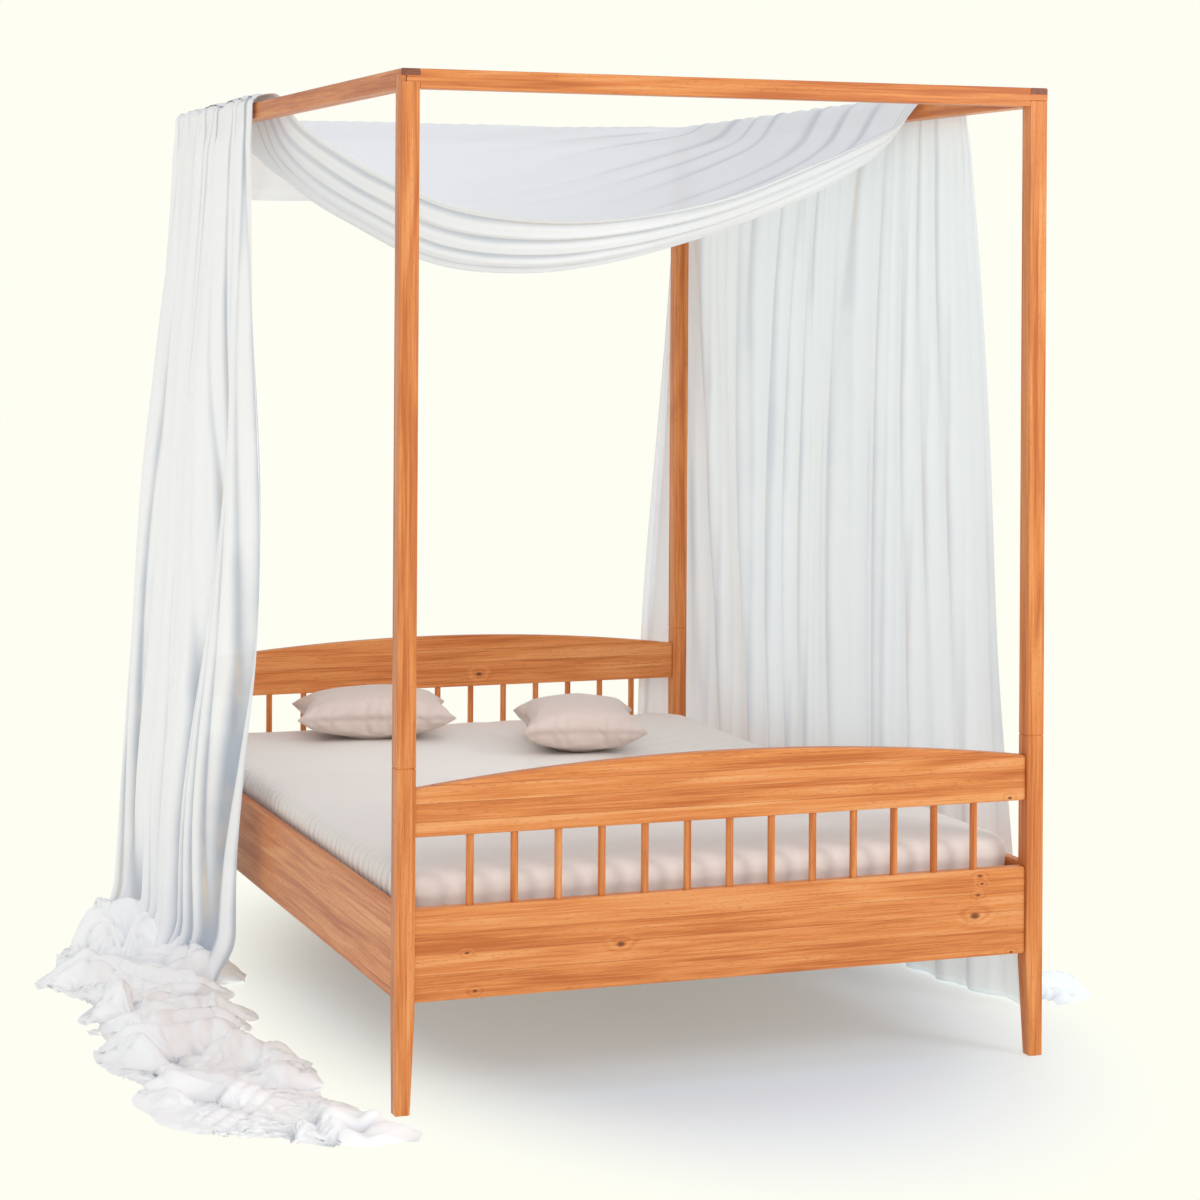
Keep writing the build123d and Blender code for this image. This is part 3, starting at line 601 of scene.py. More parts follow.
# Painted light: each sheet has its own copy of the same voile, with lit and shade colours and a glow
# set for the light that falls on it.
voile_painted_lighting = {
    "voile_swag": (rgb(241, 244, 247), rgb(205, 211, 220), 0.04),
    "voile_drape": (rgb(251, 252, 253), rgb(178, 187, 200), 0.05),
    "voile_train": (rgb(250, 251, 252), rgb(192, 198, 208), 0.09),
    "voile_backlit": (rgb(237, 245, 248), rgb(207, 215, 223), 0.15),
    "voile_valance": (rgb(241, 243, 244), rgb(214, 218, 222), 0.22),
}
voiles = {
    name: woven_finish(name, lit, shade, painted_valley_warmth, voile_pitch, 0.95, 0.00015, glow)
    for name, (lit, shade, glow) in voile_painted_lighting.items()
}
# Beige-grey and pinkish beige covers, each with a lit colour, a painted shade colour for its folds and
# a painted warm shade.
cover_painted_light_and_shade = rgb(237, 231, 226), rgb(204, 202, 204), rgb(220, 209, 199)
pillow_painted_light_and_shade = rgb(217, 200, 191), rgb(190, 171, 162), rgb(200, 179, 167)
cover_cloth = woven_finish("cover_cloth", *cover_painted_light_and_shade, cotton_pitch)
pillow_cloth = woven_finish("pillow_cloth", *pillow_painted_light_and_shade, cotton_pitch)
print("cloth finishes", *voiles, cover_cloth.name, pillow_cloth.name)

# %% [markdown]
# ## Canopy cloth
# One long cloth runs up from the floor on the left, over the left rail, across to the right rail
# and down again. Between the rails it hangs in a swag. The table gives, at places across the
# span, where the front hem is and how low it hangs, and the same for the lowest line behind it.
# From there the cloth rises to the back rail.
#
# A cloth simulation could hang this sheet, but it would not find the folds of the photograph.
# Lines from hem to hem, measured one after the other, do. The grid's u runs from the front hem
# to the back one, and v from the left rail to the right one. The front band, from the hem to the
# lowest line, hangs almost upright.

# %% The swag
mm = 0.001
wrap = 0.0103
cloth_top = rail_top + 0.0043
swag_rows = [
    (left - wrap, 1240, 0, 1500, 0),
    (inner_left, 1185, 0, 1465, 0),
    *[
        (mixed(inner_left, inner_right, share), *row)
        for share, *row in (
            (0.03, 1140, 55, 1435, 120), (0.08, 1085, 105, 1390, 205), (0.16, 1015, 175, 1315, 285),
            (0.28, 945, 248, 1215, 377), (0.42, 860, 278, 1100, 401), (0.56, 780, 268, 980, 375),
            (0.70, 695, 222, 865, 313), (0.82, 625, 151, 765, 237), (0.91, 570, 92, 690, 165),
            (0.97, 535, 50, 640, 95),
        )
    ],
    (inner_right, 500, 0, 590, 0),
    (right + wrap, 385, 0, 560, 0),
]
band = 0.3
rear = 0.965
rail_share = 0.035


def swag_line(x, u):
    """Place in y and z on the smooth sheet, a share u of the way from the front hem to the back."""
    hem_y, hem_sag, low_y, low_sag = (v * mm for v in between(swag_rows, x))
    if u < band:
        s = u / band
        return front + mixed(hem_y, low_y, s), mixed(hem_sag, low_sag, sin(s * pi / 2))
    if u < rear:
        s = (u - band) / (rear - band)
        risen = s * s / (s + 0.12) * 1.12
        return mixed(front + low_y, inner_back, s), low_sag * (1 - risen) * (1 + 0.35 * risen)
    return mixed(inner_back, back + wrap, (u - rear) / (1 - rear)), 0


print("lowest point of the swag", round(rail_top - max(row[4] for row in swag_rows) * mm, 2))

# %% [markdown]
# The cloth is bunched where it crosses a side rail. The swag and the drape below it are separate
# sheets, but they share these gathers, and the drape then bends over the rail's edge, so they
# meet there.

# %% Gathers on a rail and the bend over its edge
rolled = 0.009
edge_radius = 0.0105
edge_depth = 0.006


def rail_gathers(y, side):
    """Gathers where the cloth lies on a side rail: few and full on the left, many on the right."""
    if side == "left":
        return 0.011 * crest(7.4 * y + 0.9 * drift(3 * y, 0, 5)) + 0.002 * crest(16 * y)
    return 0.006 * crest(10 * y + 0.5 * drift(3 * y, 0, 9)) + 0.003 * crest(24 * y)


def over_edge(v, gather):
    """How far in from the rail's outer face a hanging cloth lies at its top, and how high."""
    bend = min(v / rolled, 1) * pi / 2
    inward = edge_depth - (edge_radius + 0.6 * gather) * sin(bend)
    return inward, rail_top - edge_depth + (edge_radius + gather) * cos(bend)


print("cloth stands", round(1000 * (edge_radius - edge_depth), 1), "mm proud of the rail")

# %% [markdown]
# Each corner of the sheet starts on the smooth lines and is then pushed out of them by the folds:
# a few thick rolls with finer ones along the front band, and rays that fan out from the right
# rail over the rear part.

# %% The canopy sheet
hem_overlap = 0.002


def canopy_place(u, v):
    """Place of a corner of the canopy sheet, and how light it is painted: by its fold, with painted
    shade in the rear valleys towards the right rail.
    """
    if v < rail_share:
        x = mixed(left + hem_overlap, inner_left, v / rail_share)
    elif v > 1 - rail_share:
        x = mixed(inner_right, right - hem_overlap, (v - 1 + rail_share) / rail_share)
    else:
        x = mixed(inner_left, inner_right, (v - rail_share) / (1 - 2 * rail_share))
    share = min(max((x - inner_left) / (inner_right - inner_left), 0), 1)
    y, sag = swag_line(x, u)
    y_next, sag_next = swag_line(x, min(u + 0.004, 1))
    run = Vector((0, y_next - y, sag - sag_next))
    across = Vector((0, run.z, -run.y)).normalized() if run.length > 1e-6 else Vector((0, 0, -1))
    inside = eased(share, 0, 0.1) * (1 - eased(share, 0.93, 1))
    in_band = 1 - eased(u, band * 0.95, band * 1.25)
    bend = 0.35 * drift(1.6 * share, 2.5 * u, 2)
    roll = crest(4.6 * min(u / band, 1.15) + 0.5 + bend)
    fine = crest(13 * u / band + 1.5 * share + bend)
    rear_fold = crest(13 * u + 1.8 * drift(1.2 * share, 5 * u, 4))
    fan = eased(share, 0.15, 1.0)
    out = inside * in_band * (0.017 * (roll - 0.4) + 0.003 * fine)
    out += (1 - in_band) * inside * (0.0006 + 0.008 * fan**2.2) * (0.5 - rear_fold)
    out += inside * 0.004 * drift(2.5 * x, 4 * y, 7)
    place = Vector((x, y, cloth_top - sag)) + across * out
    near_left = exp(-share / 0.05)
    near_right = exp(-(1 - share) / 0.07)
    at_back = eased(y, inner_back - 0.06, inner_back)
    rest = rail_gathers(y, "left") * near_left + rail_gathers(y, "right") * near_right
    place.z += rest + at_back * (1 - near_left - near_right) * 0.002 * crest(20 * x)
    # Painted light and shade: lit on the front band's rolls, and the rear valleys painted darker
    # towards the right rail.
    height = mixed(1 - fan**1.5 * 0.8 * (1 - rear_fold), roll * 0.75 + fine * 0.25, in_band)
    return place, height


canopy_flat = (1.75, 1.65)
canopy_cloth = grid_cloth(230, 200, canopy_flat, canopy_place)
canopy = dressed(canopy_cloth, "canopy_sheet", voiles["voile_swag"])
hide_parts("canopy_cloth")
print_area(canopy, canopy_flat)

# %% [markdown]
# ## Back valance
# Behind the back rail the rear edge of the cloth hangs down in a short straight valance, with a
# turned hem at its foot. u runs from left to right and v from the rail down.

# %% The valance
valance_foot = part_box("back_valance")[0].z
post_gap = 0.042


def valance_place(u, v):
    """Place of a corner of the valance, and how high it lies in its fold."""
    x = mixed(left + post_gap, right - post_gap, u)
    z = mixed(cloth_top, valance_foot, v)
    soft = crest(9 * u + 0.8 * drift(4 * u, v, 1))
    depth = 0.004 + 0.010 * eased(v, 0.02, 0.6)
    hem = 0.0012 * eased(v, 0.88, 0.885)
    y = back + 0.0015 + depth * soft + hem + 0.002 * (1 + drift(14 * u, 3 * v, 6))
    y += 0.0008 * sin(9 * v * pi) * eased(v, 0.55, 0.9)
    y = mixed(back + wrap - 0.006, y, eased(v, 0.0, 0.05))
    return Vector((x, y, z)), 0.5 + 0.5 * soft


valance_flat = (1.45, 0.22)
valance_cloth = grid_cloth(240, 50, valance_flat, valance_place)
valance = dressed(valance_cloth, "valance_sheet", voiles["voile_valance"])
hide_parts("back_valance")
print_area(valance, valance_flat)

# %% [markdown]
# ## Left drape
# The drape hangs outside the left rail in deep folds that slant outwards towards the floor, with
# small ones between them. The table gives, at shares of the height, how far it stands out from
# the bed and how far along the bed it is, at its front edge and then at its back edge. u runs
# from the front edge to the back one, and v from the rail down. The rows of the grid are closer
# near the rail, where the cloth bends most.

# %% The left drape
left_rows = [
    (0.000, 45, 1165, 175, 1900),
    (0.140, 38, 1165, 128, 2040),
    (0.270, 32, 1075, 95, 2100),
    (0.370, 26, 1015, 74, 2125),
    (0.530, 18, 1015, 48, 2135),
    (0.700, 14, 1095, 24, 2128),
    (0.880, 8, 1200, 8, 2120),
    (1.000, 0, 1260, 0, 2118),
]
closer_above = 1.3


def left_drape_place(u, v):
    """Place of a corner of the left drape, and how light it is painted: by its fold, with painted shade
    towards the floor.
    """
    v = v**closer_above
    share = 1 - v
    front_out, front_along, back_out, back_along = (k * mm for k in between(left_rows, share))
    top_y = swag_line(left + 0.004, u)[0]
    y = mixed(front + mixed(front_along, back_along, u), top_y, exp(-v / 0.03))
    opened = eased(v, 0.0, 0.45)
    phase = 7.3 * u + 1.3 * drift(3 * u, 0.9 * v, 3) + 0.14 * sin(5 * v)
    deep = crest(phase)
    small = crest(17 * u + 1.8 * drift(4 * u, 1.3 * v, 8))
    ends = (0.30 + 0.70 * eased(u, 0.02, 0.16)) * (1 - 0.6 * eased(u, 0.84, 1))
    swing = mixed(0.016, 0.052, opened) * ends * (0.95 + 0.7 * drift(4.5 * u, 0.6 * v, 41))
    out = mixed(front_out, back_out, u) + swing * deep + 0.010 * ends * opened * small
    out += 0.010 * opened * (1 + drift(1.7 * u, 2.5 * v, 12)) * ends
    y -= 0.4 * swing * sin(2 * pi * phase) * opened
    y += 0.016 * opened * drift(2 * u, 6 * v, 15)
    foot = eased(v, 0.93, 1.0)
    out += 0.05 * foot**2 * (1 + drift(7 * u, 0, 2))
    inward, z = over_edge(v, rail_gathers(top_y, "left") * exp(-v / 0.03))
    if v > rolled:
        z = mixed(rail_top - edge_depth, 0.004, (v - rolled) / (1 - rolled))
        z += foot * 0.02 * small * (1 - foot)
    x = left + inward - out * eased(v, rolled * 0.5, 0.06)
    # Painted shade: the drape is darker towards the floor, in slow patches.
    shade = 0.5 * drift(7 * u, 0.6 * v, 51) + 0.2 - 0.55 * v
    return Vector((x, y, z)), 0.45 * deep + 0.5 * small + shade


left_drape_flat = (1.45, 2.2)
left_drape_cloth = grid_cloth(230, 200, left_drape_flat, left_drape_place)
print("left drape", len(left_drape_cloth.verts), "corners")

# %% [markdown]
# The cloth's end trails on the floor in a train of ruffles. Its outline was measured in the
# photograph: a left edge and a right edge, from under the drape to the tip in front. Between the
# edges it is heaped in folds: crests whose direction wanders.
#
# A heap of cloth is the one thing here that a simulation makes better than a formula. The
# formula gives the main lobes, and then the cloth is let grow a little while it settles on
# the floor, so that it buckles into small creases by itself.

# %% The train
train_left = [
    (0, -206, 1880), (0.09, -320, 1667), (0.17, -410, 1476), (0.25, -452, 1278), (0.3, -408, 1179),
    (0.38, -430, 990), (0.48, -445, 746), (0.56, -450, 558), (0.64, -425, 368), (0.74, -440, 128),
    (0.84, -310, -63), (0.93, -160, -175), (1, 0, -178),
]
train_right = [
    (0, -150, 1870), (0.15, -95, 1500), (0.25, -50, 1229), (0.31, -120, 1108), (0.43, -112, 801),
    (0.49, -165, 683), (0.56, -112, 513), (0.66, -99, 316), (0.74, -116, 163), (0.84, -51, 4),
    (0.93, -20, -95), (1, 20, -125),
]
train_heights = [
    (0, 60), (0.12, 130), (0.22, 115), (0.3, 65), (0.38, 105), (0.48, 60), (0.56, 95),
    (0.64, 55), (0.72, 80), (0.8, 46), (0.9, 42), (1, 8),
]


def train_place(u, v):
    """Place of a corner of the heaped train, and how high it lies in its fold."""
    start = Vector([k * mm for k in between(train_left, v)])
    end = Vector([k * mm for k in between(train_right, v)])
    spot = start.lerp(end, u)
    tall = between(train_heights, v)[0] * mm
    wander = drift(2.3 * spot.x, 2.3 * spot.y, 3)
    slant = spot.y + (0.9 - 1.5 * v) * spot.x
    lobes = crest(5.2 * slant + 1.6 * wander)
    folds = crest(8.5 * (spot.x * 0.7 + spot.y * 0.7) + 2.8 * drift(3 * spot.x, 3 * spot.y, 6))
    creases = crest(14 * (spot.y - 0.6 * spot.x) + 2.8 * drift(5 * spot.x, 5 * spot.y, 9))
    edge = min(u, 1 - u, v * 5, (1 - v) * 5)
    body = eased(edge, 0.0, 0.2) ** 0.7
    z = 0.004 + tall * body * (0.14 + 0.46 * lobes + 0.46 * folds + 0.07 * creases)
    side = (u - 0.5) * 0.13 * (lobes - 0.6) * (1 - 0.7 * v)
    place = Vector((left + spot.x + side, front + spot.y + 0.02 * (folds - 0.5), z))
    return place, 0.05 + 0.4 * folds + 0.35 * lobes + 0.2 * creases


train_flat = (0.56, 2.6)
train_cloth = grid_cloth(56, 300, train_flat, train_place)
train = dressed(train_cloth, "train_sheet", voiles["voile_train"])
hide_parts("left_drape")
print("train before it settles", len(train.data.vertices), "corners")

# %% [markdown]
# Blender's Cloth has no growth of its own, but a shrinkage below zero does the same. The tip of
# the train is held, because it lies flat in the photograph, and the floor stops the rest. Only
# the mesh of the last frame is kept, so the piece carries no simulation. The pillows are filled
# by the same function.

# %% Run a cloth simulation
def run_cloth(piece, frames, settings, gravity=1, gap=None):
    """Simulates a piece and keeps its last frame. With a gap, the cloth also stops at itself."""
    cloth = piece.modifiers.new("cloth", "CLOTH")
    for key, value in settings.items():
        setattr(cloth.settings, key, value)
    cloth.settings.effector_weights.gravity = gravity
    if gap is not None:
        cloth.collision_settings.distance_min = gap
        cloth.collision_settings.use_self_collision = True
        cloth.collision_settings.self_distance_min = gap
    cloth.point_cache.frame_end = frames
    for frame_number in range(1, frames + 1):
        bpy.context.scene.frame_set(frame_number)
    moved = piece.evaluated_get(bpy.context.evaluated_depsgraph_get())
    result = bpy.data.meshes.new_from_object(moved)
    piece.modifiers.clear()
    piece.data = result
    bpy.context.scene.frame_set(1)


cloth_frames = 12
print("a simulation takes", cloth_frames, "frames")

# %% Let the train settle
train_growth = 0.10
train_settings = {
    "quality": 5, "mass": 0.12, "tension_stiffness": 12, "compression_stiffness": 12,
    "shear_stiffness": 4, "bending_stiffness": 1.0, "air_damping": 3,
    "shrink_min": -train_growth, "vertex_group_mass": "held",
}
corners = train.data.vertices
tip = [c.index for c in corners if c.co.y < front - 0.02 and c.co.x > left - 0.16]
train.vertex_groups.new(name="held").add(tip, 1.0, "REPLACE")
floor.modifiers.new("ground", "COLLISION")
floor.collision.thickness_outer = 0.002
run_cloth(train, cloth_frames, train_settings, gap=0.003)
floor.modifiers.clear()
print_area(train, train_flat)

# %% [markdown]
# On the real bed the drape and the train are one cloth. Here they are two sheets that together
# stand for the same node, and the train rests against the foot of the drape.

# %% Finish the left drape
left_drape = dressed(left_drape_cloth, "left_drape_sheet", voiles["voile_drape"])
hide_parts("left_drape")
print_area(left_drape, left_drape_flat)

# %% [markdown]
# ## Right drape
# On the right the cloth falls in many fine folds, outside the rail and round the back post. Its
# top is drawn together towards the front, so the folds fan out downwards. Its foot spreads on
# the floor in a flat puddle, which is the same sheet: the last part of v lies down.
#
# The table gives, at shares of the height, how far the cloth stands out and how far along the bed
# it is, at its front edge and in its middle. Then come its distance beside and behind the back
# corner, how far it reaches round that corner, and the depth of its folds.

# %% The right drape's path in plan
right_rows = [
    (0.000, 140, 355, 62, 760, 60, 38, 130, 24),
    (0.343, 88, 375, 48, 900, 45, 26, 104, 24),
    (0.620, 50, 370, 30, 900, 30, 20, 58, 20),
    (0.833, 17, 365, 12, 900, 12, 14, 27, 12),
    (1.000, 0, 385, 0, 900, 0, 0, 20, 5),
]
hanging = 0.88
side_share = 0.87
side_gap = 0.0045


def right_path(row, way):
    """Place on the path in plan, for a share of the way from its front edge to its end."""
    front_out, front_along, middle_out, middle_along, corner_out, beyond, reach = row
    if way < side_share:
        corner_along = back - front + beyond
        spots = [(front_along, front_out), (middle_along, middle_out), (corner_along, corner_out)]
        along = mixed(front_along, corner_along, way / side_share)
        return Vector((right + side_gap + between(spots, along)[0], front + along))
    t = (way - side_share) / (1 - side_share)
    x = mixed(right + corner_out + side_gap, right - reach, t)
    return Vector((x, back + beyond + 0.006))


foot_row = [v * mm for v in right_rows[0][1:-1]]
print("at the floor the drape ends", round(right_path(foot_row, 1).y - back, 3), "m behind the bed")

# %% [markdown]
# The path has a sharp corner, so each corner of the grid takes the mean of five places on it. The
# folds then stand out across the path: wide ones, whose depth is in the table, and fine ones.

# %% The right drape
def right_drape_place(u, v):
    """Place of a corner of the right drape, and how high it lies in its fold."""
    v = hanging * (v / hanging) ** closer_above if v < hanging else v
    share = 1 - min(v / hanging, 1)
    *row, swing = (k * mm for k in between(right_rows, share))
    drawn = mixed(u, u**1.35, exp(-(1 - share) / 0.25))
    spots = [right_path(row, min(max(drawn + d, 0), 1)) for d in (-0.02, -0.01, 0, 0.01, 0.02)]
    spot = sum(spots, Vector((0, 0))) / 5
    corner = eased(drawn, 0.84, 0.9)
    facing = Vector((cos(corner * pi / 2), sin(corner * pi / 2)))
    opened = 1 - exp(-(1 - share) / 0.4)
    phase = 13 * u + 2.0 * drift(4 * u, 0.8 * share, 21) + 0.1 * sin(4 * share + 9 * u)
    wide = crest(phase)
    fine = crest(33 * u + 2.2 * drift(7 * u, 0.5 * share, 23))
    depth = wide * swing * (0.8 + 0.9 * drift(5 * u, 0.6 * share, 25))
    depth += 0.0035 * fine * (1 + drift(6 * u, share, 35))
    depth += 0.010 * opened * (1 + drift(2.4 * u, 2 * share, 27))
    spot += facing * depth
    spot.y += 0.25 * swing * sin(2 * pi * phase) * opened * (1 - corner)
    inward, z = over_edge(v, rail_gathers(spot.y, "right") * exp(-v / 0.03))
    if v > rolled:
        z = mixed(rail_top - edge_depth, 0.006, min((v - rolled) / (hanging - rolled), 1))
    spot.x = mixed(right - inward, spot.x, max(eased(v, rolled * 0.5, 0.06), corner))
    if v > hanging:
        lying = (v - hanging) / (1 - hanging)
        in_front = eased(u, -0.03, 0.05) * (1 - eased(u, 0.16, 0.36))
        spread = (0.03 + 0.18 * in_front) * lying * (1 + 0.25 * drift(9 * u, 2 * lying, 31))
        spot += Vector((1, -0.1)) * spread * (1 - corner)
        pile = crest(phase * 1.3 + 0.8 * lying) * 0.7 + crest(33 * u + 4 * lying) * 0.3
        heaped = in_front * eased(lying, 0, 0.4) * (1 - eased(lying, 0.8, 1.0))
        z = 0.004 + (0.045 * heaped + 0.004) * pile
    return Vector((*spot, z)), 0.12 + 0.48 * wide + 0.32 * fine


right_drape_flat = (2.5, 2.4)
right_cloth = grid_cloth(300, 160, right_drape_flat, right_drape_place)
right_drape = dressed(right_cloth, "right_drape_sheet", voiles["voile_backlit"])
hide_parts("right_drape")
print_area(right_drape, right_drape_flat)

# %% [markdown]
# ## Mattress
# The mattress is a thick pad in a fitted cover. It is a stack of rounded outlines: each ring is
# the outer one, drawn in towards the middle line and set at its height. The table gives for each
# ring how far it is drawn in, its height, and how much the cover is gathered there. The last
# rings rise to the middle of the top in a shallow crown.

# %% Outlines of the mattress
low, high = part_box("mattress")
centre = (low + high) / 2
half = (high - low) / 2
corner_radius = 0.06
shoulder = 0.1635
crown = 0.0053
mattress_rings = [
    (0.93, 0.0, 0), (0.5, 0.0, 0), (0.1, 0.0, 0), (0.030, 0.0, 0.1), (0.012, 0.004, 0.4),
    (0.002, 0.016, 0.8), (0.000, 0.028, 1),
    *[(0.005 * sin(pi * k / 10), 0.028 + 0.096 * k / 10, 1) for k in range(1, 10)],
    (0.000, 0.124, 1), (0.002, 0.136, 0.9), (0.006, 0.145, 0.8), (0.013, 0.152, 0.65),
    (0.023, 0.157, 0.5), (0.036, 0.160, 0.35), (0.055, 0.162, 0.22), (0.08, shoulder, 0.12),
    *[
        (0.08 + 0.585 * (k / 26) ** 1.15, shoulder + crown * sin(pi / 2 * k / 26), 0.05)
        for k in range(1, 27)
    ],
    (0.694, 0.169, 0),
]


def outline(share):
    """Place on the mattress's outline and the direction outwards, a share of the way round."""
    inner = Vector((half.x - corner_radius, half.y - corner_radius))
    quarter = pi / 2 * corner_radius
    runs = [2 * inner.y, quarter, 2 * inner.x, quarter] * 2
    way = share * sum(runs)
    k = 0
    while k < 7 and way > runs[k]:
        way -= runs[k]
        k += 1
    turned = Matrix.Rotation(-pi / 2 * (k // 2), 2)
    size = inner if (k // 2) % 2 == 0 else inner.yx
    if k % 2 == 0:
        place, out = Vector((-size.x - corner_radius, way - size.y)), Vector((-1, 0))
    else:
        bend = way / corner_radius
        out = Vector((-cos(bend), sin(bend)))
        place = Vector((-size.x, size.y)) + out * corner_radius
    return turned @ place, turned @ out


print("mattress", len(mattress_rings), "rings, starting at", [round(v, 2) for v in outline(0)[0]])

# %% [markdown]
# An elastic pulls the cover tight round the sides, which puckers it in upright gathers on the
# left, most of all near the front corner. A seam runs round below the top, and the top has a few
# shallow creases. u runs round the mattress and v from the middle of the foot to the middle of
# the top. The slits that the first and the last ring leave along the middle are filled.

# %% The mattress
gathers_round = 180
seam_height = 0.118


def mattress_place(u, v):
    """Place of a corner of the mattress cover, and how light it is painted by how high it lies in its
    gather.
    """
    ring = v * (len(mattress_rings) - 1)
    k = min(int(ring), len(mattress_rings) - 2)
    below, above = mattress_rings[k], mattress_rings[k + 1]
    inset, height, gathered = (mixed(a, b, ring - k) for a, b in zip(below, above))
    rim, out = outline(u)
    spine = Vector((0, min(max(rim.y, half.x - half.y), half.y - half.x)))
    to_spine = (rim - spine).length
    spot = rim.lerp(spine, min(inset / max(to_spine, 0.01), 1))
    nearness = exp(-((spot.y + half.y) ** 2 / 0.5 + (spot.x + half.x) ** 2 / 0.5))
    ruche = sin(2 * pi * u * gathers_round + 3 * drift(60 * u, 2 * v, 3))
    ruche *= 0.6 + 0.4 * drift(90 * u, 0, 5)
    left_side = 1 if out.x < -0.5 else 0.12
    pucker = gathered * (0.0022 + 0.0022 * nearness) * ruche * left_side
    spot += out * pucker
    slow = 0.0016 * drift(5 * spot.x, 5 * spot.y, 8) * (1 - gathered)
    crease = (crest(3.2 * spot.y + 5 * drift(1.3 * spot.x, 1.3 * spot.y, 4)) - 1) * 0.003
    top = eased(height, 0.15, 0.16)
    z = low.z + height + top * (slow + crease * (1 - gathered) + pucker * 0.8)
    seam = exp(-((height - seam_height) / 0.0022) ** 2) * 0.0016
    spot += out * seam * (1 - top)
    # Painted light and shade: the gathers are painted light on their crests and dark in their valleys,
    # on the left side most.
    painted_fold_light = mixed(0.75, 0.6 + 0.5 * ruche * left_side, gathered)
    return Vector((centre.x + spot.x, centre.y + spot.y, z)), painted_fold_light


mattress_cloth = grid_cloth(960, 62, (6.6, 1.7), mattress_place)
bmesh.ops.remove_doubles(mattress_cloth, verts=mattress_cloth.verts, dist=0.0002)
open_edges = [edge for edge in mattress_cloth.edges if edge.is_boundary]
bmesh.ops.holes_fill(mattress_cloth, edges=open_edges, sides=0)
mattress = dressed(mattress_cloth, "mattress_pad", cover_cloth, "mattress", faces_out=True)
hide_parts("mattress")
print("mattress", len(mattress.data.polygons), "faces, open edges", len(open_edges))

# %% [markdown]
# ## Pillows
# A pillow cover is two flat pieces of cloth sewn together all round. When it is filled, its
# sides are drawn in, its corners stick out and small wrinkles run from the seam. A closed bag
# that already has this form is blown up a little by a simulation with a light pressure, which
# rounds it as a real filling does. A flat bag, blown up from nothing, would pucker too deeply.

# %% Fill a pillow
bag_half = (0.218, 0.168)
pillow_settings = {
    "quality": 6, "mass": 0.2, "tension_stiffness": 25, "compression_stiffness": 25,
    "shear_stiffness": 10, "bending_stiffness": 1.0,
    "use_pressure": True, "uniform_pressure_force": 2.5,
}


def mattress_top(x, y):
    """Height of the mattress's crown below a point."""
    rim = min(half.x - abs(x - centre.x), half.y - abs(y - centre.y))
    return low.z + shoulder + crown * eased(rim, 0.08, 0.6)


def shape_bag(corner, seed):
    """Moves a corner of a cube to its place on the bag, and tells how light it is painted: painted
    shade towards the seam.
    """
    x, y, side = corner.co
    full = max((1 - x * x) * (1 - y * y), 0) ** 0.55
    near_seam = (1 - full) * min(full * 5, 1)
    wrinkle = crest(5 * x + drift(2 * x, y, seed)) * abs(y) ** 3
    wrinkle += crest(4 * y + drift(x, 2 * y, seed)) * abs(x) ** 3
    drawn_x = bag_half[0] * (1 - 0.07 * (1 - y * y) * abs(x))
    drawn_y = bag_half[1] * (1 - 0.07 * (1 - x * x) * abs(y))
    corner.co = Vector((x * drawn_x, y * drawn_y, side * (0.002 + 0.060 * full)))
    uneven = 0.006 * drift(2 * x, 2 * y, seed + side) * full
    corner.co.z += side * (uneven + 0.006 * near_seam * (wrinkle - 0.6))
    # Painted shade: darker near the seam, lighter on the full middle, with the wrinkles painted light
    # on their crests.
    return 0.25 + 0.5 * min(full * 2, 1) + 0.3 * near_seam * wrinkle


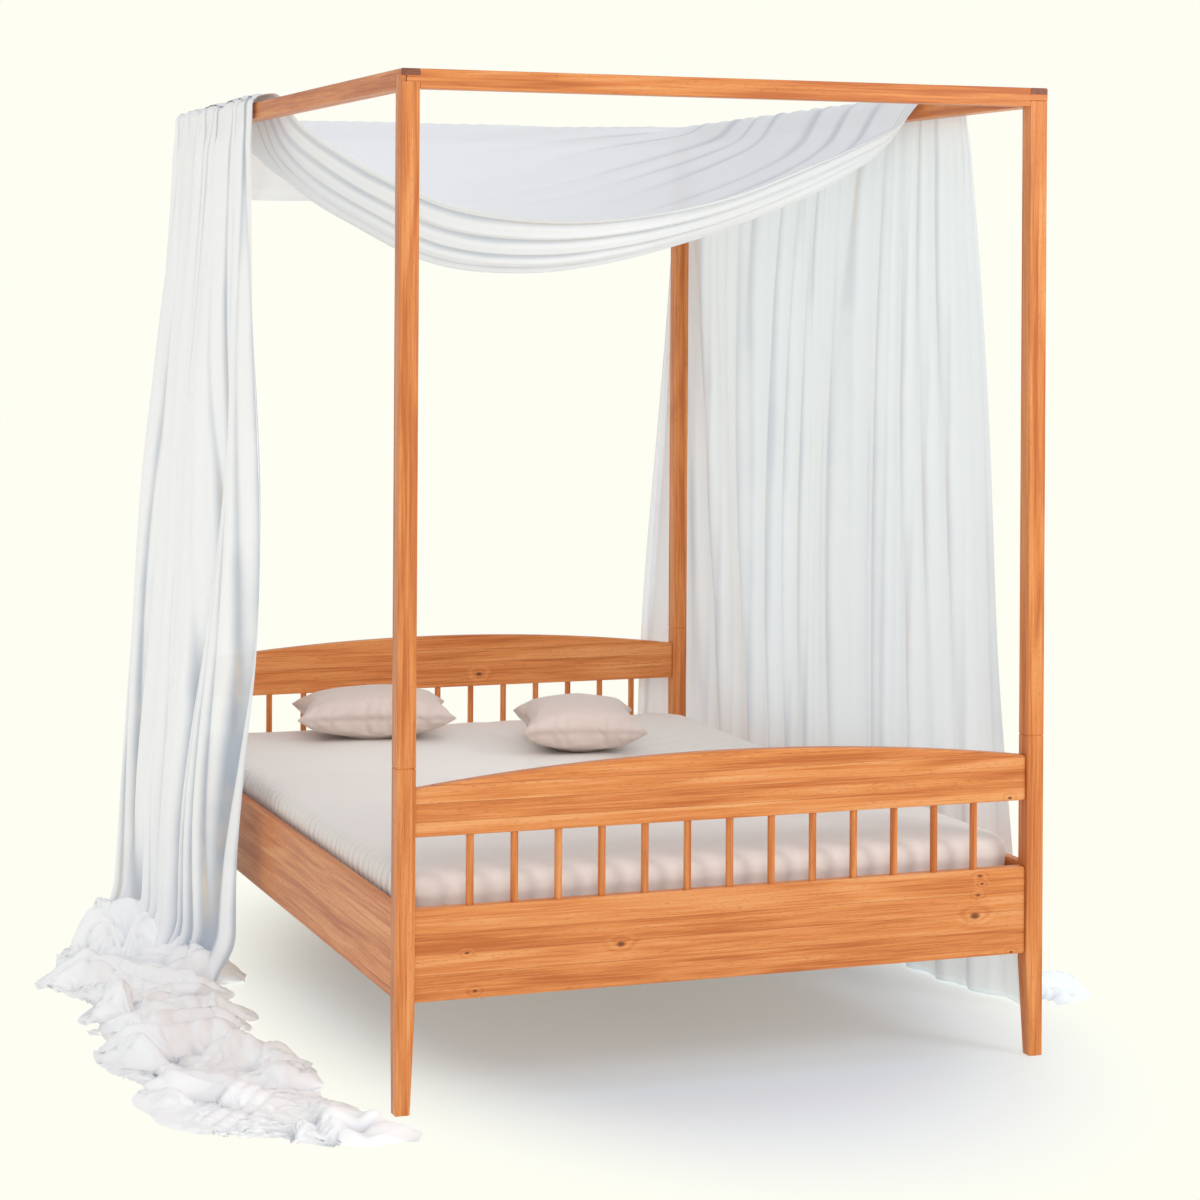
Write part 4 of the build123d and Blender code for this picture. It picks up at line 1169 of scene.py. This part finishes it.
def pillow(name, seed):
    """Makes a bag with a pillow's form and blows it up. Returns it with its size."""
    bag = bmesh.new()
    bmesh.ops.create_cube(bag, size=2)
    upright = [edge for edge in bag.edges if abs(edge.verts[0].co.z - edge.verts[1].co.z) > 1]
    flat = [edge for edge in bag.edges if edge not in upright]
    bmesh.ops.subdivide_edges(bag, edges=flat, cuts=47, use_grid_fill=True)
    unrolled = bag.loops.layers.uv.new("UVMap")
    height = bag.verts.layers.float.new("fold")
    for face in bag.faces:
        for loop in face.loops:
            loop[unrolled].uv = (loop.vert.co.x * 0.24, loop.vert.co.y * 0.19)
    for corner in bag.verts:
        corner[height] = shape_bag(corner, seed)
    piece = dressed(bag, name + "_pad", pillow_cloth, name, faces_out=True)
    run_cloth(piece, cloth_frames, pillow_settings, gravity=0)
    spots = [corner.co for corner in piece.data.vertices]
    size = Vector([max(s[k] for s in spots) - min(s[k] for s in spots) for k in range(3)])
    return piece, size


print("mattress top", round(mattress_top(centre.x, centre.y), 3))

# %% [markdown]
# Each pillow is set to the size measured in the photograph, turned to its place and pressed flat
# where it lies on the mattress. The corners that would be below the mattress's top are laid just
# on it, and one more subdivision smooths the whole.

# %% The pillows
pillow_size = (0.410, 0.315, 0.132)
pillow_rise = 0.062
pillow_places = {"pillow_left": (-11.6, 3), "pillow_right": (-105.0, 8)}
for name, (angle, seed) in pillow_places.items():
    piece, size = pillow(name, seed)
    node_low, node_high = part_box(name)
    middle = (node_low + node_high) / 2
    scale = Vector([wanted / filled for wanted, filled in zip(pillow_size, size)])
    turned = Matrix.Rotation(radians(angle), 3, "Z")
    shaped = bmesh.new()
    shaped.from_mesh(piece.data)
    bmesh.ops.scale(shaped, verts=shaped.verts, vec=scale)
    bmesh.ops.rotate(shaped, verts=shaped.verts, matrix=turned, cent=(0, 0, 0))
    spot = (middle.x, middle.y, node_low.z + pillow_rise)
    bmesh.ops.translate(shaped, verts=shaped.verts, vec=spot)
    for corner in shaped.verts:
        seat = mattress_top(corner.co.x, corner.co.y) + 0.0012
        if corner.co.z < seat + 0.006:
            corner.co.z = seat + 0.0006 * max(0, corner.co.z - seat + 0.06) / 0.06
    edges = shaped.edges
    bmesh.ops.subdivide_edges(shaped, edges=edges, cuts=1, use_grid_fill=True, smooth=0.6)
    shaped.to_mesh(piece.data)
    shaped.free()
    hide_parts(name)
    print(name, "filled to", [round(v, 3) for v in size], "and set to", pillow_size)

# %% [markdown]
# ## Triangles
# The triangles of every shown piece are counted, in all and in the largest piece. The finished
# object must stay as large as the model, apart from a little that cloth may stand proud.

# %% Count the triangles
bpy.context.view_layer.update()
triangles = {
    piece.name: sum(len(face.vertices) - 2 for face in piece.data.polygons)
    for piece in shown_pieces()
}
print("triangles", sum(triangles.values()), "most", max(triangles.values()))
